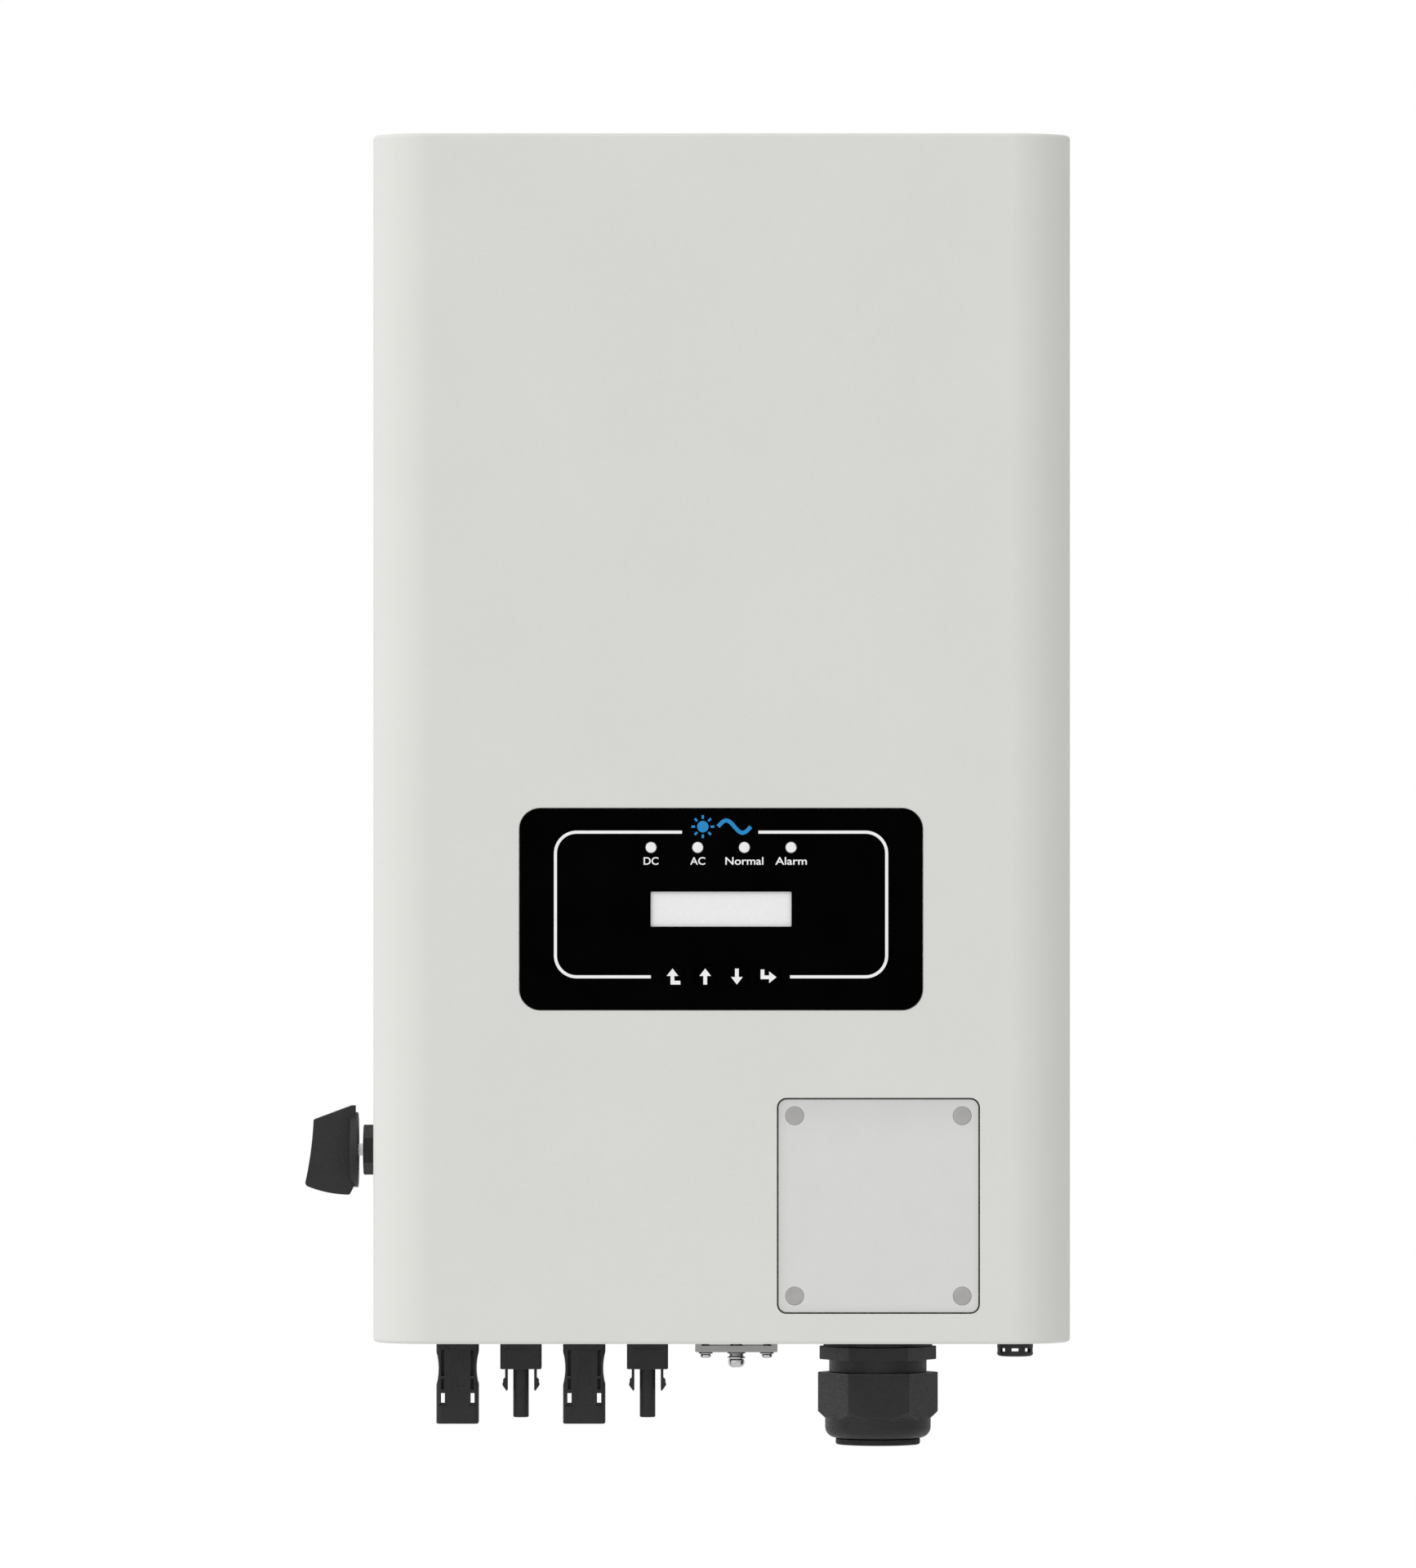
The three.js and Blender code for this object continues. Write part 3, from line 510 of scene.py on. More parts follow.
hatch_paint, tree, shader, where = begin("hatch_paint", specular=0.4)
apart = node(tree, "SeparateXYZ", {"Vector": where}).outputs
uneven = blotches(tree, where, 14)
paint = blend(tree, uneven, (0.634, 0.636, 0.620), (0.644, 0.646, 0.630))
# Painted shade near the plate's four edges: top, left, right and bottom.
HATCH_EDGE_SHADE = (("Z", -0.191, -0.170, 0.07), ("X", 0.0325, 0.0265, 0.05),
        ("X", 0.117, 0.1213, 0.06), ("Z", -0.266, -0.2707, 0.06))
for axis, inner, outer, amount in HATCH_EDGE_SHADE:  # painted shade, from none inside to darkest at the plate's edge
    paint = blend(tree, ramp(tree, apart[axis], inner, outer, 0, amount), paint, BLACK)
dress(tree, shader, paint, ramp(tree, uneven, 0, 1, *PAINT_ROUGH),
      blotches(tree, where, PAINT_GRAIN, 3.0), PAINT_DEPTH)


def nylon(name, edge=0.5):
    """Glass-filled black nylon with its edges lightened over this many millimetres, as wear and as a painted
    highlight.
    """
    return finish(name, (0.0155, 0.0155, 0.0158), (0.0195, 0.0195, 0.0195), (0.42, 0.6), 0.35, 0.02,
                  patch=12, specular=0.3, wear_and_highlight=(0.05, 0.05, 0.05), edge=edge)


grey_plastic = finish("grey_plastic", (0.345, 0.335, 0.325), (0.385, 0.372, 0.362), (0.4, 0.6), 0.5, 0.02,
                      patch=6)
black_nylon = nylon("black_nylon")
# The gland's lightened edges are wider: a painted highlight that picks out the scallops on its nut.
gland_nylon = nylon("gland_nylon", edge=1.3)
black_rubber = finish("black_rubber", (0.014, 0.014, 0.014), (0.019, 0.019, 0.019), (0.6, 0.8), 0.5, 0.04,
                      patch=9, specular=0.22, wear_and_highlight=(0.026, 0.026, 0.026))
black_film = finish("black_film", (0.0004, 0.0004, 0.0004), (0.0009, 0.0009, 0.0009), (0.3, 0.42), 0.4,
                    0.006, patch=25, specular=0.006)
white_print = finish("white_print", (0.80, 0.80, 0.80), (0.84, 0.84, 0.84), (0.5, 0.65), 0.3, 0.01,
                     patch=5, specular=0.3)
blue_print = finish("blue_print", (0.012, 0.215, 0.50), (0.016, 0.235, 0.54), (0.5, 0.65), 0.3, 0.01,
                    patch=4, specular=0.2)
frosted_plastic = finish("frosted_plastic", (0.78, 0.78, 0.775), (0.83, 0.83, 0.83), (0.3, 0.45), 0.4,
                         0.01, patch=3, specular=0.4)
print("paints and plastics:", len(bpy.data.materials))

# %% [markdown]
# ## Metals
# Three metals meet on the back. The heat sink is extruded, so its surface has long fine lines from the
# die. The bracket and the hanger are hot-dip galvanised sheet: the zinc sets in flat crystals, called
# spangle, that reflect a little differently from each other, and a Voronoi pattern gives just those
# cells. The screws are bright zinc-plated steel. On all of them the edges are lightened, as wear and as a
# painted highlight. The earthing plate and its screws also get painted shade in the gaps between their
# parts.

# %% Metals
aluminium = finish("aluminium", (0.46, 0.465, 0.47), (0.56, 0.565, 0.57), (0.34, 0.5), 0.35, 0.02,
                   patch=30, metal=0.9, stretch=(1, 1, 0.02), wear_and_highlight=(0.72, 0.72, 0.72))
# The gaps of the earthing plate get painted shade.
earth_metal = finish("earth_metal", (0.345, 0.347, 0.342), (0.37, 0.372, 0.368), (0.42, 0.5), 0.25, 0.006,
                     patch=6, metal=0.55, stretch=(0.04, 1, 1), wear_and_highlight=(0.5, 0.5, 0.5),
                     painted_recess_shade=(0.05, 0.05, 0.045))
bright_steel = finish("bright_steel", (0.66, 0.66, 0.655), (0.76, 0.76, 0.755), (0.16, 0.28), 0.25, 0.004,
                      patch=3, metal=0.95, wear_and_highlight=(0.82, 0.82, 0.82))
# The earth screws get painted shade between their washers and a strong painted highlight on their edges.
terminal_steel = finish("terminal_steel", (0.50, 0.50, 0.495), (0.62, 0.62, 0.615), (0.14, 0.24), 0.25,
                        0.004, patch=3, metal=0.95, wear_and_highlight=(0.9, 0.9, 0.9), painted_recess_shade=(0.03, 0.03, 0.03))

galvanised_steel, tree, shader, where = begin("galvanised_steel", metal=0.85)
drift = node(tree, "TexNoise", {"Vector": where, "Scale": 60.0, "Detail": 2.0}).outputs["Color"]
wavy = node(tree, "VectorMath", {0: drift, "Scale": 0.004}, operation="SCALE").outputs["Vector"]
shifted = node(tree, "VectorMath", {0: where, 1: wavy}, operation="ADD").outputs["Vector"]
crystals = node(tree, "TexVoronoi", {"Vector": shifted, "Scale": 160.0}).outputs["Color"]
cell = node(tree, "SeparateXYZ", {"Vector": crystals}).outputs["X"]
zinc = blend(tree, cell, (0.42, 0.43, 0.44), (0.60, 0.61, 0.62))
# Edges lightened, as wear and as a painted highlight.
zinc = blend(tree, edges(tree, 0.6), zinc, (0.72, 0.72, 0.73))
dress(tree, shader, zinc, ramp(tree, cell, 0, 1, 0.32, 0.52), blotches(tree, where, 1.2, 3.0), 0.02)
print("paints, plastics and metals:", len(bpy.data.materials))

# %% [markdown]
# ## The painted shell
# The front cover is one folded and welded sheet: flat in front, with two big round vertical corners,
# and small rounded edges above and below. It is made as a solid of the same plan, hollowed out, and
# then opened for the display and the wiring cover. The small outer edges are rounded before the shell
# is cut, so that the joint with the housing stays a clean straight line.

# %% Front cover
HALF_WIDTH, TOP = 165, 285.5
FRONT, SPLIT, BACK = -200, -140, -76
CORNER, WALL = 28, 2.5
EDGE_RADIUS, SMALL_EDGE = 1.8, 0.3
DISPLAY = (-0.3, -80.4)
DISPLAY_RECESS = (190.6, 95.6, 10.1)  # width, height and corner radius
HATCH = (73.9, -220.3)
HATCH_POCKET = (95.8, 101.9, 4.6)
COVER_SCREW_Y = SPLIT - 7
SIDE_SCREWS_Z = (-220, 0, 220)
END_SCREWS_X = (-100, 100)


def shell_plan(inset, back):
    """The shell seen from above: two square corners behind and two round ones in front."""
    side, front, radius = HALF_WIDTH - inset, FRONT + inset, CORNER - inset
    left = arc(-side + radius, front + radius, radius, 180, 270, 24)
    right = arc(side - radius, front + radius, radius, 270, 360, 24)
    return [(side, back), (-side, back), *left, *right]


def countersinks():
    """Cones and holes for the screws round the cover's rear edge."""
    tools = []
    profile = [(0, 1), (4.6, 1), (4.1, 0), (2.3, -2), (2.3, -4), (0, -4)]
    for side in (-1, 1):
        for z in SIDE_SCREWS_Z:
            cone = [(radius, side * (HALF_WIDTH + depth)) for radius, depth in profile]
            tools.append(turned("cone", "x", cone, (0, COVER_SCREW_Y, z), 32))
        for x in END_SCREWS_X:
            cone = [(radius, side * (TOP + depth)) for radius, depth in profile]
            tools.append(turned("cone", "z", cone, (x, COVER_SCREW_Y, 0), 32))
    return tools


cover = bevel(prism("front_cover_shell", "z", -TOP, TOP, shell_plan(0, -60)), EDGE_RADIUS, steps=5)
inner = prism("inner", "z", -TOP + WALL, TOP - WALL, shell_plan(WALL, -50))
cut(cover, inner, box("behind", (-200, SPLIT, -300), (200, 0, 300)))
inside = FRONT + WALL
frame_block = prism("frame_block", "y", inside - 0.5, inside + 7.5, rounded(113, 118, 7, *HATCH))
join(cover, frame_block)
recess = prism("recess", "y", FRONT - 1, FRONT + 0.9, rounded(*DISPLAY_RECESS, *DISPLAY))
window = prism("window", "y", FRONT - 1, inside + 1, rounded(86, 74, 4, DISPLAY[0], DISPLAY[1] - 3))
pocket = prism("pocket", "y", FRONT - 1, FRONT + 7.8, rounded(*HATCH_POCKET, *HATCH))
access = prism("access", "y", FRONT, inside + 10, rounded(64, 70, 4, *HATCH))
cut(cover, recess, window, pocket, access, *countersinks())
bevel(cover, SMALL_EDGE, steps=2)
fit(cover, "inverter", "body_paint", body_paint, "front_cover")

# %% [markdown]
# The rear housing is the deep half of the box. Its lip goes up inside the cover and holds a gasket, and
# a large opening in its back lets the electronics sit straight on the heat sink.

# %% Rear housing
BOTTOM = -TOP
FITTINGS_Y = -108
PV_X = [-126.3 + 30.3 * k for k in range(4)]
EARTH_X, GLAND_X, BREATHER_X = 7.1, 74.9, 140.6
EARTH_HOLES = ((-14.65, 2.1), (0, 3.2), (14.65, 2.1))  # place from the middle, and radius
SWITCH_Z = -196.5

back_corner = 6
plan = [(HALF_WIDTH, -165), (HALF_WIDTH, BACK - back_corner)]
plan += arc(HALF_WIDTH - back_corner, BACK - back_corner, back_corner, 0, 90, 8)[1:]
plan += [(-x, y) for x, y in reversed(plan)]
housing = bevel(prism("rear_housing_shell", "z", -TOP, TOP, plan), EDGE_RADIUS, steps=5)
cut(housing, box("before", (-200, -220, -300), (200, SPLIT + 0.3, 300)))
lip = box("lip", (-162.2, -152, -282.7), (162.2, -135, 282.7))
join(housing, lip)
hollow = box("hollow", (-159.2, -153, -279.7), (159.2, -130, 279.7))
deep = box("deep", (-162, -135, -282.5), (162, BACK - 3, 282.5))
opening = prism("opening", "y", BACK - 4, BACK + 1, rounded(250, 428, 6, 0, 36))
cut(housing, hollow, deep, opening)
pad = [(0, BOTTOM - 2), (25.9, BOTTOM - 2), (26.4, BOTTOM - 1.5), (26.4, BOTTOM + 1), (0, BOTTOM + 1)]
join(housing, turned("pad", "z", pad, (GLAND_X, FITTINGS_Y, 0)))
bores = [(x, 6.4) for x in PV_X] + [(GLAND_X, 20.4), (BREATHER_X, 6.2)]
bores += [(EARTH_X + x, radius) for x, radius in EARTH_HOLES]
tools = [rod("bore", "z", radius, BOTTOM - 5, BOTTOM + 7, (x, FITTINGS_Y, 0), 48) for x, radius in bores]
cut(housing, *tools, rod("bore", "x", 7.3, -170, -157, (0, FITTINGS_Y, SWITCH_Z), 48))
bevel(housing, SMALL_EDGE, steps=2)
fit(housing, "inverter", "body_paint", body_paint, "rear_housing")

# %% [markdown]
# Ten countersunk screws hold the cover to the housing. A screw head is a turned cone with a six-sided
# recess, and it sits just below the paint.

# %% Cover screws
def recess_for(axis, across, low, high, at):
    """A hexagonal cutter for a screw's recess."""
    return move(prism("recess", axis, low, high, hexagon(across)), *at)


def countersunk(name, axis, side, surface, at):
    profile = [(0, -0.2), (3.7, -0.2), (3.9, -0.35), (2.1, -2.1), (2.0, -4.5), (0, -4.5)]
    head = turned(name, axis, [(r, side * (surface + depth)) for r, depth in profile], at, 40)
    low, high = sorted((side * (surface - 1.6), side * (surface + 1)))
    return bevel(cut(head, recess_for(axis, 3.2, low, high, at)), 0.08, steps=2)


count = 0
for side in (-1, 1):
    places = [("x", HALF_WIDTH, (0, COVER_SCREW_Y, z)) for z in SIDE_SCREWS_Z]
    places += [("z", TOP, (x, COVER_SCREW_Y, 0)) for x in END_SCREWS_X]
    for axis, surface, at in places:
        count += 1
        screw = countersunk(f"cover_screw_{count}", axis, side, surface, at)
        fit(screw, "inverter", "bright_steel", bright_steel)

# %% [markdown]
# ## The wiring cover
# The installer takes off only this small plate. It lies a millimetre below the face around it, with an
# even dark seam, and four soft plugs hide its screws. A plug is a low disc with a rounded rim.

# %% Wiring cover and plugs
HATCH_SIZE = (94.2, 100.3, 3.8)
HATCH_SCREWS = [(HATCH[0] + a * 39.5, HATCH[1] + b * 42.5) for a, b in ((-1, 1), (1, 1), (-1, -1), (1, -1))]

hatch = prism("wiring_cover_plate", "y", FRONT + 1, FRONT + 6, rounded(*HATCH_SIZE, *HATCH))
lightening = prism("lightening", "y", FRONT + 3.5, FRONT + 7, rounded(62, 66, 4, *HATCH))
wells = []
for x, z in HATCH_SCREWS:
    wells.append(rod("well", "y", 4.42, FRONT, FRONT + 4.6, (x, 0, z), 64))
    wells.append(rod("hole", "y", 2.3, FRONT, FRONT + 8, (x, 0, z), 32))
cut(hatch, lightening, *wells)
bevel(hatch, 0.35, steps=3)
fit(hatch, "inverter", "hatch_paint", hatch_paint, "wiring_cover")

# Each profile is (radius, depth behind the front face).
PLUG = [(0, 1.1), (1.5, 1.08), (2.6, 0.98), (3.9, 0.95), (4.2, 1.0), (4.34, 1.15), (4.38, 1.4),
        (4.38, 2.4), (0, 2.4)]
COVER_SCREW = [(0, 2.7), (3.2, 2.7), (3.6, 3.1), (3.6, 4.3), (2, 4.3), (2, 15), (0, 15)]
for k, (x, z) in enumerate(HATCH_SCREWS, 1):
    at = (x, FRONT, z)
    fit(turned(f"screw_plug_{k}_cap", "y", PLUG, at, 64), "inverter", "grey_plastic", grey_plastic,
        f"screw_plug_{k}")
    screw = turned(f"wiring_cover_screw_{k}_body", "y", COVER_SCREW, at, 40)
    cut(screw, recess_for("y", 3.4, 2, 3.9, at))
    fit(screw, "inverter", "bright_steel", bright_steel, f"wiring_cover_screw_{k}")

# %% [markdown]
# ## The display
# A printed film covers the whole panel: it is cut out over the screen, over four lamp windows and round
# four keys. The keys are separate caps under their own springs, so each one rides on its own body and
# carries its printed arrow with it.

# %% Film, keys and light guide
DX, DZ = DISPLAY
LAMP_PITCH, KEY_PITCH = 22, 14.93
LAMPS_X = [DX + LAMP_PITCH * (k - 1.5) for k in range(4)]
LAMPS_Z = DZ + 29.1
KEYS_X = [DX + KEY_PITCH * (k - 1.5) for k in range(4)]
KEYS_Z = DZ - 31.8
FILM_SIZE = (190, 95, 9.8)
WINDOW_SIZE = (66.4, 16.5, 0.6)
KEY_HOLE, KEY_CAP, KEY_FLANGE = (11.0, 11.0, 2.3), (10.4, 10.4, 2), (12.2, 12.2, 2)
FILM_FRONT, FILM_BACK = FRONT - 0.3, FRONT + 0.6

holes = [rounded(*WINDOW_SIZE, DX, DZ, steps=4)]
holes += [circle(2.9, x, LAMPS_Z, 48) for x in LAMPS_X]
holes += [rounded(*KEY_HOLE, x, KEYS_Z, steps=6) for x in KEYS_X]
film = prism("display_film", "y", FILM_FRONT, FILM_BACK, rounded(*FILM_SIZE, DX, DZ, steps=16), holes)
bevel(film, 0.12, steps=2)
fit(film, "inverter", "black_film", black_film, "display_membrane")

STEM = [(0, 0.9), (2.2, 0.9), (2.2, 7.2), (1.9, 7.5), (0, 7.5)]
for body, x in zip(("escape_key", "up_key", "down_key", "enter_key"), KEYS_X):
    cap = prism(body + "_cap", "y", FILM_FRONT, FILM_BACK + 0.5, rounded(*KEY_CAP, x, KEYS_Z, steps=6))
    edge = rounded(*KEY_FLANGE, x, KEYS_Z, steps=6)
    flange = prism("flange", "y", FILM_BACK + 0.3, FILM_BACK + 1.2, edge)
    stem = turned("stem", "y", STEM, (x, FRONT, KEYS_Z), 32)
    key_piece = join(bevel(cap, 0.15, 2), flange, stem)
    fit(key_piece, body, "black_film", black_film, "key_" + body.split("_")[0])

guide = box("light_guide_strip", (DX - 37, FRONT + 3, LAMPS_Z - 3), (DX + 37, FRONT + 5, LAMPS_Z + 3))
PIP = [(0, -0.35), (1.8, -0.3), (2.4, -0.2), (2.6, 0.05), (2.6, 4), (1.8, 4.5), (1.8, 10.5), (0, 10.5)]
join(guide, *[turned("pip", "y", PIP, (x, FRONT, LAMPS_Z), 48) for x in LAMPS_X])
fit(guide, "inverter", "frosted_plastic", frosted_plastic, "light_guide")

# %% [markdown]
# The print is a very thin layer of white ink. It stands a few hundredths of a millimetre proud, as real
# screen printing does. A frame line runs round the panel and breaks for the mark above and for the keys
# below. The mark is a plain sun and a wave, for sunlight turned into mains current.

# %% Printed frame line, labels and mark
INK = 0.06


def printed(name, outline, body="inverter", ink=white_print, slot="frosted_plastic"):
    return fit(prism(name, "y", FILM_FRONT - INK, FILM_FRONT, outline), body, slot, ink)


LINE, LINE_TOP, LINE_BOTTOM, LINE_CORNER = 1.44, -44.1, -112.3, 10
LINE_HALF = (157.6 - LINE) / 2
straight = LINE_HALF - LINE_CORNER
for side, hand, gap_top, gap_bottom in ((-1, "left", 18.4, 33.1), (1, "right", 17.6, 32.5)):
    path = [(gap_top, LINE_TOP), (straight, LINE_TOP)]
    path += arc(straight, LINE_TOP - LINE_CORNER, LINE_CORNER, 90, 0, 12)[1:]
    path += arc(straight, LINE_BOTTOM + LINE_CORNER, LINE_CORNER, 0, -90, 12)
    path += [(gap_bottom, LINE_BOTTOM)]
    printed(f"frame_line_{hand}", strip([(DX + side * x, z) for x, z in path], LINE))

ARROWS = {
    "escape_key": [(-0.49, 3.85), (-3.26, 0.31), (-1.41, 0.31), (-1.41, -3.75), (3.21, -3.75), (3.21, -1.95),
                   (0.39, -1.95), (0.39, 0.31), (2.28, 0.31)],
    "up_key": [(0, 3.85), (-2.77, 0.31), (-0.9, 0.31), (-0.9, -3.75), (0.9, -3.75), (0.9, 0.31),
               (2.77, 0.31)],
    "down_key": [(0, -3.75), (2.77, -0.15), (0.9, -0.15), (0.9, 3.8), (-0.9, 3.8), (-0.9, -0.15),
                 (-2.77, -0.15)],
    "enter_key": [(3.75, -0.26), (0.26, 2.47), (0.26, 0.57), (-1.95, 0.57), (-1.95, 3.39), (-3.75, 3.39),
                  (-3.75, -1.18), (0.26, -1.18), (0.26, -3.08)],
}
for (body, outline), x in zip(ARROWS.items(), KEYS_X):
    printed(body + "_arrow", [(x + a, KEYS_Z + b) for a, b in outline], body)


def label(text, x, z, width, height):
    """Words printed on the film, scaled to this width and height in millimetres."""
    curve = bpy.data.curves.new(text.lower() + "_label", "FONT")
    curve.body = text
    curve.size = 1
    curve.offset = 0.012
    curve.extrude = 0.01
    letters = add(curve.name, curve)
    bpy.context.view_layer.update()
    flat = bpy.data.meshes.new_from_object(letters.evaluated_get(bpy.context.evaluated_depsgraph_get()))
    bpy.data.objects.remove(letters)
    low = [min(v.co[k] for v in flat.vertices) for k in range(2)]
    high = [max(v.co[k] for v in flat.vertices) for k in range(2)]
    for v in flat.vertices:
        across = (v.co.x - (low[0] + high[0]) / 2) / (high[0] - low[0]) * width
        up = (v.co.y - low[1]) / (high[1] - low[1]) * height
        out = -INK if v.co.z > 0 else 0
        v.co = Vector((x + across, FILM_FRONT + out, z + up)) * MM
    clean(flat)
    return fit(add(curve.name, flat), "inverter", "frosted_plastic", white_print)


LABEL_BELOW, LABEL_HEIGHT = 8.2, 3.66
for text, x, width in zip(("DC", "AC", "Normal", "Alarm"), LAMPS_X, (7.0, 7.1, 17.95, 14.9)):
    label(text, x, LAMPS_Z - LABEL_BELOW, width, LABEL_HEIGHT)

SUN_X, SUN_Z = DX - 8.6, -41.5
printed("mark_sun", circle(2.7, SUN_X, SUN_Z, 48), ink=blue_print)
for k in range(8):
    turn = math.radians(45 * k)
    ray = [(SUN_X + r * math.cos(turn), SUN_Z + r * math.sin(turn)) for r in (3.7, 5.4)]
    printed(f"mark_ray_{k + 1}", strip(ray, 1.1), ink=blue_print)
WAVE_START, WAVE_LENGTH, WAVE_HEIGHT = DX - 1.4, 15.4, 2.9
wave = [(WAVE_START + WAVE_LENGTH * t / 40, SUN_Z + WAVE_HEIGHT * math.sin(2 * math.pi * t / 40))
        for t in range(41)]
printed("mark_wave", strip(wave, 1.9), ink=blue_print)

# %% [markdown]
# The screen is a pale liquid crystal display behind its window. Close up it is a grid of small square
# cells, so its finish draws faint lines between them on a faintly blotchy pale ground.

# %% Screen
screen, tree, shader, where = begin("screen", specular=0.35)
apart = node(tree, "SeparateXYZ", {"Vector": where}).outputs


def grid(axis, pitch):
    """Thin lines across one axis, a pitch apart in millimetres."""
    steps = node(tree, "Math", {0: apart[axis], 1: 1 / (pitch * MM)}, operation="MULTIPLY").outputs[0]
    part = node(tree, "Math", {0: steps}, operation="FRACT").outputs[0]
    return ramp(tree, part, 0.16, 0.04)


lines = node(tree, "Math", {0: grid("X", 0.5), 1: grid("Z", 0.5)}, operation="MAXIMUM").outputs[0]
cells = blend(tree, blotches(tree, where, 20), (0.81, 0.81, 0.805), (0.82, 0.82, 0.82))
cells = blend(tree, lines, cells, (0.79, 0.795, 0.79))
dress(tree, shader, cells, ramp(tree, blotches(tree, where, 3), 0, 1, 0.2, 0.3), lines, 0.004)

module = box("lcd_screen", (DX - 40, FRONT + 0.9, DZ - 18), (DX + 40, FRONT + 12.1, DZ + 18))
ledge = box("ledge", (DX - 41, FRONT, DZ - 19), (DX + 41, FRONT + 1.3, DZ + 19))
raised = box("raised", (DX - 35.5, FRONT, DZ - 10.5), (DX + 35.5, FRONT + 2, DZ + 10.5))
cut(module, cut(ledge, raised))
fit(bevel(module, 0.25, 2), "inverter", "screen", screen, "lcd_module")

# %% [markdown]
# ## The DC switch
# The knob that cuts off the panels is a moulded handle on a round disc, and it turns on a steel shaft
# through a large plastic nut. The handle is an outline seen from the front, pushed sideways, and its
# long edges are rounded for the fingers. All of it sits on the left wall, so it is drawn about the
# shaft and then moved there.

# %% Knob and lock nut
SWITCH = (-HALF_WIDTH, FITTINGS_Y, SWITCH_Z)


def curve_through(start, control, end, steps=10):
    """A quadratic curve from start to end, without its first point."""
    places = [k / steps for k in range(1, steps + 1)]
    return [tuple(a * (1 - t) ** 2 + b * 2 * t * (1 - t) + c * t * t for a, b, c in zip(start, control, end))
            for t in places]


handle = [(-10.2, 21.2), (-12.25, 21.2), (-30.2, 14.5)]
handle += curve_through((-30.2, 14.5), (-30.8, -0.3), (-34.2, -15.9))
handle += [(-33.5, -17.2)] + curve_through((-33.5, -17.2), (-23.75, -21.3), (-13, -21.4))
handle += [(-10.95, -17.4), (-10.2, -17.4)]
grip = bevel(prism("handle", "y", -6.5, 6.5, handle), 1.1, steps=4)
disc = [(0, -8.8), (17.3, -8.8), (17.9, -9.0), (18.05, -9.4), (17.5, -12.2), (17.0, -12.6), (0, -12.6)]
join(grip, turned("disc", "x", disc))
cut(grip, rod("bore", "x", 3.3, -19, 0, sides=40))
bevel(grip, 0.25, 2, angle=50)
grip.name = "switch_knob_handle"
fit(move(grip, *SWITCH), "dc_switch", "black_nylon", black_nylon, "switch_knob")

nut = prism("switch_nut", "x", -6.4, -0.3, [(b, a) for a, b in hexagon(24)])
keep(nut, turned("crown", "x", [(0, -6.8), (11.2, -6.4), (12.2, -5.9), (12.2, 0), (0, 0)]))
cut(nut, rod("bore", "x", 7.3, -8, 1, sides=48))
fit(move(bevel(nut, 0.4, 3, angle=28), *SWITCH), "inverter", "black_nylon", black_nylon, "switch_lock_nut")

# %% [markdown]
# ## The solar plugs and sockets
# Two sockets and two plugs take the strings of panels. A socket is a box with a waist to hold it by,
# small ribs on the waist, grooves over its latches and two windows where the latches click in. A plug
# is a short box with a tube and two barbed arms. One of each is drawn about its own axis, then copied.

# %% Sockets and plugs
def seat():
    """The flange and threaded neck that hold a connector in the floor of the housing."""
    profile = [(0, -3), (11.6, -3), (12, -2.6), (12, -0.7), (11.6, -0.3), (6.3, -0.3), (6, 0), (6, 13.6),
               (5.6, 14), (0, 14)]
    return turned("seat", "z", profile, sides=64)


def ribbed_cutter(side):
    """A wide cylinder that takes out the waist and leaves fine ribs on it."""
    centre, radius, teeth = (side * 38.6, -15.5), 29.6, 186
    points = []
    for k in range(2 * teeth):
        turn = math.pi * k / teeth
        reach = radius + (0.22 if k % 2 else -0.12)
        if abs(math.sin(turn)) > 0.24:
            reach = radius
        points.append((centre[0] + reach * math.cos(turn), centre[1] + reach * math.sin(turn)))
    return prism("waist", "y", -12, 12, points)


def pv_socket():
    body = bevel(prism("socket", "z", -41.9, -2, rounded(20.2, 17, 2.4, steps=6)), 0.6, 3)
    tools = [ribbed_cutter(side) for side in (-1, 1)]
    for x in (-7.1, 7.1):
        for low, high in ((-19, -6.5), (-25.5, -20.2)):
            tools.append(box("groove", (x - 0.9, -9, low), (x + 0.9, -5.5, high)))
            tools.append(box("groove", (x - 0.9, 5.5, low), (x + 0.9, 9, high)))
        tools.append(box("window", (x - 1.05, -12, -32.5), (x + 1.05, 12, -27.2)))
        for face in (1, -1):
            sill = [(face * -8.6, -32.5), (face * -7.6, -32.5), (face * -8.6, -34.1)]
            tools.append(prism("sill", "x", x - 1.9, x + 1.9, sill))
    panel = [(-4.9, -5.0), (4.9, -5.0), (3.6, -8.5), (3.6, -24.5), (-3.6, -24.5), (-3.6, -8.5)]
    for low, high in ((-9, -8.15), (8.15, 9)):
        tools.append(prism("panel", "y", low, high, soften(panel, 0.8)))
    tools.append(prism("mouth", "z", -44, -27, rounded(16.8, 7, 1, steps=4)))
    tools.append(rod("bore", "z", 4.7, -44, -14, sides=40))
    cut(body, *tools)
    pin = turned("pin", "z", [(0, -38), (1.1, -38), (1.6, -37.2), (1.6, -13), (0, -13)], sides=24)
    return bevel(join(body, seat(), pin), 0.18, 2, angle=50)


